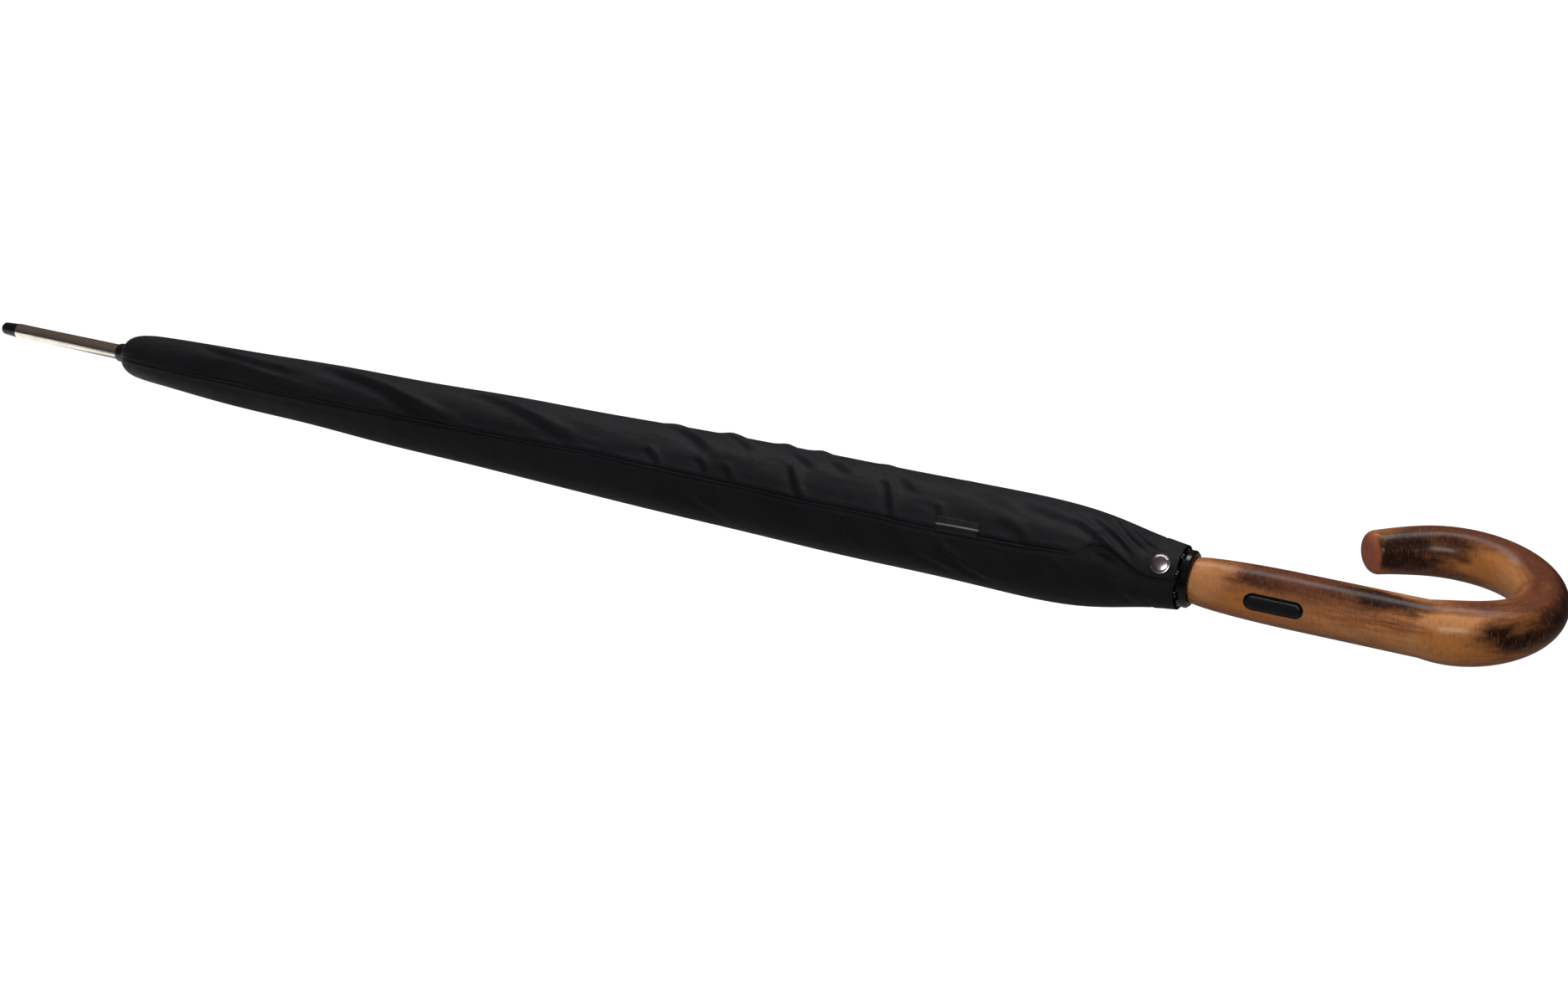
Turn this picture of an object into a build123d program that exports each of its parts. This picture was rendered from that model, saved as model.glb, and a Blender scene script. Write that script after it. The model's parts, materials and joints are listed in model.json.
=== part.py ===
from build123d import *
import os
from math import asin, cos, degrees, hypot, radians, sin

# A stick umbrella with a wooden crook handle, closed and dressed in its travel sleeve.
# It lies along X: ferrule at -X, crook at +X. The crook is bent in the XY plane with its
# free arm on the +Y side. The origin is on the shaft axis at the handle's front face.
# Millimetres, +Z up. Azimuths are measured about X, from +Y towards +Z.

os.makedirs("parts", exist_ok=True)

# ---------------------------------------------------------------- driving dimensions
SHAFT_R = 5.0
SHAFT_WALL = 0.9
SHAFT_BORE_R = SHAFT_R - SHAFT_WALL
SHAFT_FRONT_X = -630.0
SHAFT_SEAT = 62.0  # depth of the shaft inside the handle

FERRULE_R = 4.4
FERRULE_BORE_R = 3.4
FERRULE_FRONT_X = -720.0
FERRULE_LAP = 26.0  # length of ferrule pushed into the shaft tube
TIP_LENGTH = 12.0
TIP_PLUG = 14.0  # length of the tip inside the ferrule
TIP_END_R = 3.5
COLLAR_LENGTH = 11.0
COLLAR_FRONT_X = SHAFT_FRONT_X - COLLAR_LENGTH

RIB_COUNT = 8
CROWN_X = -612.0  # plane of the rib pivots
PIVOT_R = 9.0  # radius of the rib pivots, and of the stretcher pivots at the runner
ATTACH_X = -322.0  # rivet between rib and stretcher
ATTACH_R = 16.6
RIB_END_X = -13.0
RIB_END_R = 12.1
RIB_SIZE = 2.4
OPEN_ANGLE = 68.0

RUNNER_X = CROWN_X + 2 * (ATTACH_X - CROWN_X)
LINK = hypot(ATTACH_X - CROWN_X, ATTACH_R - PIVOT_R)
LINK_ANGLE = degrees(asin((ATTACH_R - PIVOT_R) / LINK))
RUNNER_TRAVEL = 2 * LINK * (cos(radians(LINK_ANGLE)) - cos(radians(LINK_ANGLE + OPEN_ANGLE)))

HANDLE_R = 13.1
HANDLE_NOSE_R = 10.8
HANDLE_TIP_R = 10.3
HANDLE_END_ROUNDING = 4.5
GRIP_LENGTH = 104.0
HOOK_R = 41.8
HOOK_ARC = 206.0
ARM_R = 100.0  # the free arm goes on from the hook in a much flatter curve
ARM_ARC = 15.0

BUTTON_AZIMUTH = 172.0  # almost opposite the free arm of the crook
BUTTON_X = 40.2
BUTTON_LENGTH = 24.7
BUTTON_WIDTH = 5.6
BUTTON_TRAVEL = 1.6

RUNNING = 0.1  # radial clearance of sliding and turning fits
CUT = 1.0  # how far a cut runs past the surface it opens
LEVER_PIVOT_X = 14.0
LEVER_R = (7.8, 8.8)

CLOTH = 0.8  # thickness of the soft shells
ROLL_GAP = 2.0  # rib centre line to the inside of the rolled canopy
SLEEVE_START_X = -634.0
SLEEVE_MOUTH_X = -5.0
SNAP_X = -12.2
SNAP_AZIMUTH = 141.0
SEAM_AZIMUTH = 158.0

RIB_AZIMUTHS = [BUTTON_AZIMUTH + (i + 0.5) * 360 / RIB_COUNT for i in range(RIB_COUNT)]


# ---------------------------------------------------------------- placing planes
def radial(azimuth):
    """Unit vector from the shaft axis outwards at an azimuth."""
    return Vector(0, cos(radians(azimuth)), sin(radians(azimuth)))


def tangent(azimuth):
    """Unit vector across the shaft axis at an azimuth, towards larger azimuths."""
    return Vector(0, -sin(radians(azimuth)), cos(radians(azimuth)))


def across(x):
    """Plane square to the shaft at x, looking along +X."""
    return Plane.YZ.offset(x)


def blade(azimuth, shift=0.0):
    """Plane through the shaft axis: its x is X and its y is the radius. It may be shifted sideways."""
    return Plane(tangent(azimuth) * shift, x_dir=(1, 0, 0), z_dir=tangent(azimuth))


def facing(azimuth, height):
    """Plane tangent to a cylinder round the shaft: its x is X."""
    return Plane(radial(azimuth) * height, x_dir=(1, 0, 0), z_dir=radial(azimuth))


def finish(piece, name):
    """Label a finished piece and write it."""
    piece.part.label = name
    export_step(piece.part, "parts/" + name + ".step")


def turned(outline):
    """Solid of revolution about the shaft axis from a closed outline of (x, radius) points."""
    with BuildPart() as body:
        with BuildSketch(blade(BUTTON_AZIMUTH)):
            with BuildLine():
                Polyline(*outline, close=True)
            make_face()
        revolve(axis=Axis.X)
    return body.part


# ---------------------------------------------------------------- shaft and ferrule
CATCH_LENGTH = 20.0
CATCH_GAP = 0.2
CATCH_WIDTH = 2.0
CATCH_RISE = 1.9  # above the shaft, enough to stop the runner's edge
CATCH_TOOTH = 3.0
CATCH_WINDOW_GAP = 0.2
RUNNER_BACK_X = RUNNER_X + 19.0
CATCH_X = RUNNER_BACK_X - RUNNER_TRAVEL + CATCH_GAP
COUPLING_X = RUNNER_X + 8.0
COUPLING_PIN_R = 1.0
COUPLING_SLOT = 2 * COUPLING_PIN_R + 0.4

with BuildPart() as shaft_tube:
    with BuildSketch(across(SHAFT_FRONT_X)):
        Circle(SHAFT_R)
        Circle(SHAFT_BORE_R, mode=Mode.SUBTRACT)
    extrude(amount=SHAFT_SEAT - SHAFT_FRONT_X)
    # long slots on both sides, for the pin that joins the runner to the spring plunger
    with BuildSketch(facing(BUTTON_AZIMUTH + 90, 0)):
        with Locations((COUPLING_X - RUNNER_TRAVEL / 2, 0)):
            SlotOverall(RUNNER_TRAVEL + 8, COUPLING_SLOT)
    extrude(amount=SHAFT_R + CUT, both=True, mode=Mode.SUBTRACT)
    # window for the catch that holds the runner up
    with BuildSketch(facing(BUTTON_AZIMUTH, 0)):
        with Locations((CATCH_X + CATCH_LENGTH / 2, 0)):
            Rectangle(CATCH_LENGTH + 0.6, CATCH_WIDTH + 2 * CATCH_WINDOW_GAP)
    extrude(amount=SHAFT_R + CUT, mode=Mode.SUBTRACT)
finish(shaft_tube, "shaft_tube")

with BuildPart() as open_catch:
    with BuildSketch(blade(BUTTON_AZIMUTH)):
        with BuildLine():
            Polyline(
                (CATCH_X, SHAFT_BORE_R - 0.4),
                (CATCH_X, SHAFT_R + CATCH_RISE),
                (CATCH_X + CATCH_TOOTH, SHAFT_R + CATCH_RISE),
                (CATCH_X + CATCH_LENGTH, SHAFT_R + 0.05),
                (CATCH_X + CATCH_LENGTH, SHAFT_BORE_R - 0.4),
                close=True,
            )
        make_face()
    extrude(amount=CATCH_WIDTH / 2, both=True)
finish(open_catch, "open_catch")

with BuildPart() as ferrule_tube:
    with BuildSketch(across(FERRULE_FRONT_X)):
        Circle(FERRULE_R)
    extrude(amount=COLLAR_FRONT_X - FERRULE_FRONT_X)
    chamfer(ferrule_tube.edges().filter_by(GeomType.CIRCLE).sort_by(Axis.X)[0], length=0.3)
    # narrower spigot that passes through the collar into the shaft
    with BuildSketch(across(COLLAR_FRONT_X)):
        Circle(SHAFT_BORE_R)
    extrude(amount=SHAFT_FRONT_X + FERRULE_LAP - COLLAR_FRONT_X)
    with BuildSketch(across(FERRULE_FRONT_X)):
        Circle(FERRULE_BORE_R)
    extrude(amount=SHAFT_FRONT_X + FERRULE_LAP - FERRULE_FRONT_X, mode=Mode.SUBTRACT)
finish(ferrule_tube, "ferrule_tube")

with BuildPart() as ferrule_tip:
    add(turned([
        (FERRULE_FRONT_X - TIP_LENGTH, 0),
        (FERRULE_FRONT_X - TIP_LENGTH, TIP_END_R),
        (FERRULE_FRONT_X, FERRULE_R - 0.2),
        (FERRULE_FRONT_X, FERRULE_BORE_R),
        (FERRULE_FRONT_X + TIP_PLUG, FERRULE_BORE_R),
        (FERRULE_FRONT_X + TIP_PLUG, 0),
    ]))
    fillet(ferrule_tip.edges().filter_by(GeomType.CIRCLE).sort_by(Axis.X)[0], radius=2.2)
finish(ferrule_tip, "ferrule_tip")

COLLAR_RIM_R = 8.0
with BuildPart() as top_collar:
    add(turned([
        (COLLAR_FRONT_X, SHAFT_BORE_R),
        (COLLAR_FRONT_X, FERRULE_R + 0.9),
        (SHAFT_FRONT_X - 4.5, FERRULE_R + 1.4),
        (SHAFT_FRONT_X - 1.0, COLLAR_RIM_R - 0.4),
        (SHAFT_FRONT_X - 0.4, COLLAR_RIM_R),
        (SHAFT_FRONT_X, COLLAR_RIM_R),
        (SHAFT_FRONT_X, SHAFT_BORE_R),
    ]))
finish(top_collar, "top_collar")

# ---------------------------------------------------------------- crown
CROWN_WIRE_R = 0.55
CROWN_RIM_R = 10.6
CROWN_HUB_R = 7.0
CROWN_HALF = 7.0
CROWN_RIM_HALF = 2.6
CROWN_SLOT = (4.4, 2.0)

with BuildPart() as crown:
    add(turned([
        (CROWN_X - CROWN_HALF, SHAFT_R),
        (CROWN_X - CROWN_HALF, CROWN_HUB_R),
        (CROWN_X - CROWN_RIM_HALF, CROWN_HUB_R),
        (CROWN_X - CROWN_RIM_HALF, CROWN_RIM_R),
        (CROWN_X + CROWN_RIM_HALF, CROWN_RIM_R),
        (CROWN_X + CROWN_RIM_HALF, CROWN_HUB_R),
        (CROWN_X + CROWN_HALF, CROWN_HUB_R),
        (CROWN_X + CROWN_HALF, SHAFT_R),
    ]))
    with BuildSketch(blade(BUTTON_AZIMUTH)):
        with Locations((CROWN_X, PIVOT_R)):
            Circle(CROWN_WIRE_R)
    revolve(axis=Axis.X, mode=Mode.SUBTRACT)
    # one slot for each rib eye
    with BuildSketch(across(CROWN_X - 3)):
        with PolarLocations(CROWN_HUB_R + 2.3, RIB_COUNT, start_angle=RIB_AZIMUTHS[0]):
            Rectangle(*CROWN_SLOT)
    extrude(amount=6, mode=Mode.SUBTRACT)
finish(crown, "crown")

with BuildPart() as crown_wire:
    with BuildSketch(blade(BUTTON_AZIMUTH)):
        with Locations((CROWN_X, PIVOT_R)):
            Circle(CROWN_WIRE_R)
    revolve(axis=Axis.X)
finish(crown_wire, "crown_wire")

CAP_X = (SHAFT_FRONT_X + 0.2, CROWN_X - CROWN_HALF - 0.2)
CAP_RIM_R = 10.2
with BuildPart() as canopy_cap:
    add(turned([
        (CAP_X[0], SHAFT_R + RUNNING),
        (CAP_X[0], SHAFT_R + RUNNING + 0.8),
        (CAP_X[1], CAP_RIM_R),
        (CAP_X[1], CAP_RIM_R - 0.9),
        (CAP_X[0] + 2, SHAFT_R + RUNNING),
    ]))
finish(canopy_cap, "canopy_cap")

# ---------------------------------------------------------------- ribs and stretchers
RIB_LINE = [(CROWN_X + 6, 9.2), (-442, 14.2), (ATTACH_X, ATTACH_R), (-110, 18.6), (RIB_END_X, RIB_END_R)]
EYE_R = 1.5
EYE_THICK = 1.6
RIVET_R = 0.7
RIVET_HEAD = (RIVET_R + 0.5, 0.4)  # radius and thickness
CHANNEL_WALL = 0.5
STRETCHER_SIDE = (1.8, 4.0)  # the stretcher lies beside its rib
STRETCHER_PIN_R = 0.5
STRETCHER_PIN_START = -2.6  # the pin reaches across the runner's rim to the rib's other side
BULB_R = 2.1
BULB_X = -5.4
BULB_PLACE_R = 11.8
BULB_STEM_R = 0.7 * BULB_R
BULB_STEM_X = (RIB_END_X + 0.5, BULB_X - 0.4)


def make_rib(azimuth):
    """Channel-section rib with an eye at the crown and a rivet for its stretcher."""
    with BuildPart() as rib:
        with BuildLine(blade(azimuth)) as path:
            Spline(*RIB_LINE)
        start = path.line @ 0
        along = path.line % 0
        with BuildSketch(Plane(start, x_dir=tangent(azimuth), z_dir=along)):
            Rectangle(RIB_SIZE, RIB_SIZE)
            # the channel opens towards the shaft
            with Locations((0, RIB_SIZE / 2)):
                Rectangle(RIB_SIZE - 2 * CHANNEL_WALL, RIB_SIZE * 1.2, mode=Mode.SUBTRACT)
        sweep()
        with BuildSketch(blade(azimuth)):
            with Locations((CROWN_X, PIVOT_R)):
                Circle(EYE_R)
            with BuildLine():
                Polyline(
                    (CROWN_X, PIVOT_R - 0.9),
                    (CROWN_X, PIVOT_R + 0.9),
                    (CROWN_X + 8, PIVOT_R + 1.2),
                    (CROWN_X + 8, PIVOT_R - 0.7),
                    close=True,
                )
            make_face()
        extrude(amount=EYE_THICK / 2, both=True)
        with BuildSketch(blade(azimuth)):
            with Locations((CROWN_X, PIVOT_R)):
                Circle(CROWN_WIRE_R + 0.09)
        extrude(amount=2, both=True, mode=Mode.SUBTRACT)
        with BuildSketch(blade(azimuth, RIB_SIZE / 2 - 0.3)):
            with Locations((ATTACH_X, ATTACH_R)):
                Circle(RIVET_R)
        extrude(amount=STRETCHER_SIDE[1] + 0.1 - RIB_SIZE / 2 + 0.3)
        with BuildSketch(blade(azimuth, STRETCHER_SIDE[1] + 0.1)):
            with Locations((ATTACH_X, ATTACH_R)):
                Circle(RIVET_HEAD[0])
        extrude(amount=RIVET_HEAD[1])
    return rib


def make_rib_tip(azimuth):
    """Rounded plastic bulb on the end of a rib."""
    with BuildPart() as tip:
        with BuildSketch(across(BULB_STEM_X[0])):
            with PolarLocations(BULB_PLACE_R, 1, start_angle=azimuth):
                Circle(BULB_STEM_R)
        extrude(amount=BULB_STEM_X[1] - BULB_STEM_X[0])
        with Locations(radial(azimuth) * BULB_PLACE_R + Vector(BULB_X, 0, 0)):
            Sphere(BULB_R)
    return tip


def make_stretcher(azimuth):
    """Straight channel link from the rib's rivet to the runner, with its pivot wire."""
    middle = ((ATTACH_X + RUNNER_X) / 2, (ATTACH_R + PIVOT_R) / 2)
    with BuildPart() as link:
        with BuildSketch(blade(azimuth, STRETCHER_SIDE[0])):
            with Locations(Location((*middle, 0), (0, 0, -LINK_ANGLE))):
                SlotCenterToCenter(LINK, RIB_SIZE)
        extrude(amount=STRETCHER_SIDE[1] - STRETCHER_SIDE[0])
        with BuildSketch(blade(azimuth, STRETCHER_SIDE[0] + CHANNEL_WALL)):
            with Locations(Location((*middle, 0), (0, 0, -LINK_ANGLE))):
                with Locations((0, RIB_SIZE / 2)):
                    Rectangle(LINK - 12, RIB_SIZE * 1.2)
        extrude(amount=STRETCHER_SIDE[1] - STRETCHER_SIDE[0] - 2 * CHANNEL_WALL, mode=Mode.SUBTRACT)
        with BuildSketch(blade(azimuth)):
            with Locations((ATTACH_X, ATTACH_R)):
                Circle(RIVET_R + 0.07)
        extrude(amount=5, mode=Mode.SUBTRACT)
        with BuildSketch(blade(azimuth, STRETCHER_PIN_START)):
            with Locations((RUNNER_X, PIVOT_R)):
                Circle(STRETCHER_PIN_R)
        extrude(amount=STRETCHER_SIDE[1] - 0.1 - STRETCHER_PIN_START)
    return link


for number, azimuth in enumerate(RIB_AZIMUTHS, start=1):
    finish(make_rib(azimuth), "rib_" + str(number))
    finish(make_rib_tip(azimuth), "rib_tip_" + str(number))
    finish(make_stretcher(azimuth), "stretcher_" + str(number))

# ---------------------------------------------------------------- runner and its spring
RUNNER_R = 6.6
RUNNER_RIM_R = 7.6
RUNNER_FRONT_X = RUNNER_X - 30.0
RUNNER_RIM_HALF = 4.0
GROOVE_X = (RUNNER_BACK_X - 5.6, RUNNER_BACK_X - 2.4)
GROOVE_R = 6.2

with BuildPart() as runner:
    add(turned([
        (RUNNER_FRONT_X, SHAFT_R + RUNNING),
        (RUNNER_FRONT_X, RUNNER_R),
        (RUNNER_X - RUNNER_RIM_HALF, RUNNER_R),
        (RUNNER_X - RUNNER_RIM_HALF, RUNNER_RIM_R),
        (RUNNER_X + RUNNER_RIM_HALF, RUNNER_RIM_R),
        (RUNNER_X + RUNNER_RIM_HALF, RUNNER_R),
        (GROOVE_X[0], RUNNER_R),
        (GROOVE_X[0], GROOVE_R),
        (GROOVE_X[1], GROOVE_R),
        (GROOVE_X[1], RUNNER_RIM_R),
        (RUNNER_BACK_X - 1, RUNNER_RIM_R),
        (RUNNER_BACK_X, RUNNER_RIM_R - 1),
        (RUNNER_BACK_X, SHAFT_R + RUNNING),
    ]))
    with BuildSketch(facing(BUTTON_AZIMUTH + 90, 0)):
        with Locations((COUPLING_X, 0)):
            Circle(COUPLING_PIN_R)
    extrude(amount=RUNNER_RIM_R + CUT, both=True, mode=Mode.SUBTRACT)
finish(runner, "runner")

PLUNGER_R = SHAFT_BORE_R - 0.08
PLUNGER_X = (COUPLING_X - 6, COUPLING_X + 6)
PLUNGER_CHAMFER = 0.8

with BuildPart() as spring_plunger:
    add(turned([
        (PLUNGER_X[0], 0),
        (PLUNGER_X[0], PLUNGER_R - PLUNGER_CHAMFER),
        (PLUNGER_X[0] + PLUNGER_CHAMFER, PLUNGER_R),
        (PLUNGER_X[1], PLUNGER_R),
        (PLUNGER_X[1], 0),
    ]))
    with BuildSketch(facing(BUTTON_AZIMUTH + 90, 0)):
        with Locations((COUPLING_X, 0)):
            Circle(COUPLING_PIN_R)
    extrude(amount=SHAFT_R, both=True, mode=Mode.SUBTRACT)
finish(spring_plunger, "spring_plunger")

with BuildPart() as coupling_pin:
    with BuildSketch(facing(BUTTON_AZIMUTH + 90, 0)):
        with Locations((COUPLING_X, 0)):
            Circle(COUPLING_PIN_R)
    extrude(amount=RUNNER_R - 0.1, both=True)
finish(coupling_pin, "coupling_pin")

PLUG_X = 45.0
with BuildPart() as shaft_plug:
    add(turned([(PLUG_X, 0), (PLUG_X, SHAFT_BORE_R), (SHAFT_SEAT, SHAFT_BORE_R), (SHAFT_SEAT, 0)]))
finish(shaft_plug, "shaft_plug")


def coil(start, direction, length, pitch, mean_r, wire_r):
    """Round-wire compression spring."""
    with BuildPart() as spring:
        with BuildLine() as path:
            Helix(pitch=pitch, height=length, radius=mean_r, center=start, direction=direction)
        with BuildSketch(Plane(path.line @ 0, z_dir=path.line % 0)):
            Circle(wire_r)
        sweep(is_frenet=True)
    return spring


SPRING_WIRE_R = 0.45
SPRING_MEAN_R = 3.4
SPRING_PITCH = 4.4
SPRING_START_X = PLUNGER_X[1] + SPRING_WIRE_R + 0.1
SPRING_LENGTH = PLUG_X - SPRING_WIRE_R - 0.1 - SPRING_START_X
spring_start = (SPRING_START_X, 0, 0)
drive_spring = coil(spring_start, (1, 0, 0), SPRING_LENGTH, SPRING_PITCH, SPRING_MEAN_R, SPRING_WIRE_R)
finish(drive_spring, "drive_spring")

# ---------------------------------------------------------------- handle
BEZEL_WALL = 1.0
BUTTON_FIT = 0.15
POCKET = (BUTTON_LENGTH + 2 * (BUTTON_FIT + BEZEL_WALL), BUTTON_WIDTH + 2 * (BUTTON_FIT + BEZEL_WALL))
POCKET_FLOOR = 7.1
LEVER_SLOT = (4.6, 10.0)  # width, and height above the shaft axis
LEVER_SLOT_X = (-CUT, 50.0)
LEVER_PIN_R = 0.7
LEVER_PIN_REACH = 3.8
LEVER_MIDDLE_R = (LEVER_R[0] + LEVER_R[1]) / 2
# (share of the crook, radius): the wood is thickest going into the bend and thins round it
HANDLE_TAPER = [(0.0, HANDLE_R), (0.2, 13.7), (0.5, 12.0), (0.75, 12.4), (0.86, 11.7), (1.0, HANDLE_TIP_R)]

with BuildPart() as handle:
    with BuildSketch(blade(0)):
        with BuildLine():
            Line((0, 0), (0, HANDLE_NOSE_R - 1.2))
            ThreePointArc((0, HANDLE_NOSE_R - 1.2), (0.4, HANDLE_NOSE_R - 0.4), (1.4, HANDLE_NOSE_R))
            Spline((1.4, HANDLE_NOSE_R), (12, 12.0), (30, 12.85), (60, HANDLE_R), tangents=[(1, 0.2), (1, 0)])
            Line((60, HANDLE_R), (GRIP_LENGTH, HANDLE_R))
            Line((GRIP_LENGTH, HANDLE_R), (GRIP_LENGTH, 0))
            Line((GRIP_LENGTH, 0), (0, 0))
        make_face()
    revolve(axis=Axis.X)
    with BuildLine() as bend:
        hook = CenterArc((GRIP_LENGTH, HOOK_R), HOOK_R, -90, HOOK_ARC)
        JernArc(hook @ 1, hook % 1, ARM_R, ARM_ARC)
    crook = bend.wire()
    for share, radius in HANDLE_TAPER:
        with BuildSketch(Plane(crook @ share, x_dir=(0, 0, 1), z_dir=crook % share)):
            Circle(radius)
    sweep(path=crook, multisection=True)
    fillet(handle.edges().sort_by_distance(crook @ 1)[0], radius=HANDLE_END_ROUNDING)
    # shaft bore
    with BuildSketch(across(0)):
        Circle(SHAFT_R)
    extrude(amount=SHAFT_SEAT, mode=Mode.SUBTRACT)
    # slot for the release lever, and the button's pocket
    with BuildSketch(facing(BUTTON_AZIMUTH, 0)):
        with Locations((sum(LEVER_SLOT_X) / 2, 0)):
            Rectangle(LEVER_SLOT_X[1] - LEVER_SLOT_X[0], LEVER_SLOT[0])
    extrude(amount=LEVER_SLOT[1], mode=Mode.SUBTRACT)
    with BuildSketch(facing(BUTTON_AZIMUTH, POCKET_FLOOR)):
        with Locations((BUTTON_X, 0)):
            SlotOverall(*POCKET)
    extrude(amount=HANDLE_R, mode=Mode.SUBTRACT)
    with BuildSketch(blade(BUTTON_AZIMUTH)):
        with Locations((LEVER_PIVOT_X, LEVER_MIDDLE_R)):
            Circle(LEVER_PIN_R)
    extrude(amount=LEVER_PIN_REACH, both=True, mode=Mode.SUBTRACT)
finish(handle, "handle")

# ---------------------------------------------------------------- button and release lever
BEZEL_FOOT_R = 9.8
with BuildPart() as button_bezel:
    with BuildSketch(facing(BUTTON_AZIMUTH, BEZEL_FOOT_R)):
        with Locations((BUTTON_X, 0)):
            SlotOverall(*POCKET)
            SlotOverall(BUTTON_LENGTH + 2 * BUTTON_FIT, BUTTON_WIDTH + 2 * BUTTON_FIT, mode=Mode.SUBTRACT)
    extrude(amount=6)
    with BuildSketch(across(BUTTON_X - 20)):
        Circle(HANDLE_R + 0.2)
    extrude(amount=40, mode=Mode.INTERSECT)
finish(button_bezel, "button_bezel")

BUTTON_FOOT_R = LEVER_R[1] + 0.1
BUTTON_STANDS = 1.2  # above the grip
THUMB_ROUNDING = 0.6
NUB_X = BUTTON_X + 9.0
NUB_R = 1.6
with BuildPart() as push_button:
    with BuildSketch(facing(BUTTON_AZIMUTH, BUTTON_FOOT_R)):
        with Locations((BUTTON_X, 0)):
            SlotOverall(BUTTON_LENGTH, BUTTON_WIDTH)
    extrude(amount=7)
    with BuildSketch(across(BUTTON_X - 20)):
        Circle(HANDLE_R + BUTTON_STANDS)
    extrude(amount=40, mode=Mode.INTERSECT)
    # rounded rim on the face that the thumb presses
    thumb_face = push_button.faces().sort_by_distance(radial(BUTTON_AZIMUTH) * 40 + Vector(BUTTON_X, 0, 0))[0]
    fillet(thumb_face.edges(), radius=THUMB_ROUNDING)
    # foot flange that keeps it behind the bezel
    with BuildSketch(facing(BUTTON_AZIMUTH, BUTTON_FOOT_R)):
        with Locations((BUTTON_X, 0)):
            SlotOverall(POCKET[0] - 0.4, POCKET[1] - 0.4)
    extrude(amount=BEZEL_FOOT_R - 0.1 - BUTTON_FOOT_R)
    # relief over the front of the lever, so the button bears on it near its end
    with BuildSketch(facing(BUTTON_AZIMUTH, BUTTON_FOOT_R)):
        with Locations((BUTTON_X - 7, 0)):
            Rectangle(13, 4.2)
    extrude(amount=1.4, mode=Mode.SUBTRACT)
    # plain raised nub for the thumb
    with BuildSketch(facing(BUTTON_AZIMUTH, HANDLE_R)):
        with Locations((NUB_X, 0)):
            Circle(NUB_R)
    extrude(amount=BUTTON_STANDS + 0.3)
finish(push_button, "push_button")

LEVER_WIDTH = 3.2
LEVER_HOOK = 1.8  # length of the hook that drops into the runner's groove
LEVER_EYE_R = 1.55
LEVER_X = (GROOVE_X[0] + 0.8, 46.0)
with BuildPart() as release_lever:
    with BuildSketch(blade(BUTTON_AZIMUTH)):
        with BuildLine():
            Polyline(
                (LEVER_X[0], LEVER_R[1]),
                (LEVER_X[1], LEVER_R[1]),
                (LEVER_X[1], LEVER_R[0]),
                (LEVER_X[0] + LEVER_HOOK, LEVER_R[0]),
                (LEVER_X[0] + LEVER_HOOK, GROOVE_R + 0.4),
                (LEVER_X[0], GROOVE_R + 0.4),
                close=True,
            )
        make_face()
        with Locations((LEVER_PIVOT_X, LEVER_MIDDLE_R)):
            Circle(LEVER_EYE_R)
            Circle(LEVER_PIN_R + 0.06, mode=Mode.SUBTRACT)
    extrude(amount=LEVER_WIDTH / 2, both=True)
finish(release_lever, "release_lever")

with BuildPart() as lever_pin:
    with BuildSketch(blade(BUTTON_AZIMUTH)):
        with Locations((LEVER_PIVOT_X, LEVER_MIDDLE_R)):
            Circle(LEVER_PIN_R)
    extrude(amount=LEVER_PIN_REACH, both=True)
finish(lever_pin, "lever_pin")

LEVER_SPRING_X = 42.0
lever_spring_foot = radial(BUTTON_AZIMUTH) * (SHAFT_R + 0.3) + Vector(LEVER_SPRING_X, 0, 0)
lever_spring = coil(lever_spring_foot, radial(BUTTON_AZIMUTH), 2.2, 0.8, 1.1, 0.2)
finish(lever_spring, "lever_spring")

# ---------------------------------------------------------------- tip cup
CUP_FRONT_X = -4.8
CUP_R = 13.4
BULB_GAP = 0.4
POCKET_WALL_X = BULB_X + BULB_R + BULB_GAP
POCKET_LENGTH = 10.0  # runs out past the cup's front face
with BuildPart() as tip_cup:
    add(turned([
        (CUP_FRONT_X, SHAFT_R),
        (CUP_FRONT_X, CUP_R - 0.6),
        (CUP_FRONT_X + 0.6, CUP_R),
        (-1.0, CUP_R),
        (0, CUP_R - 1.0),
        (0, SHAFT_R),
    ]))
    # a pocket for each rib's bulb, open outwards so that the bulb can swing out
    for azimuth in RIB_AZIMUTHS:
        with BuildSketch(facing(azimuth, BULB_PLACE_R)):
            with Locations((POCKET_WALL_X - POCKET_LENGTH / 2, 0)):
                Rectangle(POCKET_LENGTH, 2 * (BULB_R + BULB_GAP))
        extrude(amount=CUP_R, mode=Mode.SUBTRACT)
        with BuildSketch(across(POCKET_WALL_X)):
            with PolarLocations(BULB_PLACE_R, 1, start_angle=azimuth):
                Circle(BULB_R + BULB_GAP)
        extrude(amount=-POCKET_LENGTH, mode=Mode.SUBTRACT)
    # gate for the release lever
    with BuildSketch(across(-5)):
        with PolarLocations(LEVER_MIDDLE_R + 0.7, 1, start_angle=BUTTON_AZIMUTH):
            Rectangle(4.0, LEVER_SLOT[0] - 0.4)
    extrude(amount=6, mode=Mode.SUBTRACT)
finish(tip_cup, "tip_cup")

# ---------------------------------------------------------------- canopy, one gore between each pair of ribs
GORE_SPAN = 43.0
CANOPY_LINE = [(CROWN_X - 5, 9.0), (CROWN_X + 6, 9.3)] + RIB_LINE[1:-1] + [(RIB_END_X - 3, 12.4)]


def shell_outline(line, inner, outer):
    """Thin flat face between two offsets of a line of (x, radius) points."""
    lower = [(x, r + inner) for x, r in line]
    upper = [(x, r + outer) for x, r in line]
    with BuildSketch() as outline:
        with BuildLine():
            Spline(*lower)
            Line(lower[-1], upper[-1])
            Spline(*reversed(upper))
            Line(upper[0], lower[0])
        make_face()
    return outline.sketch


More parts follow.
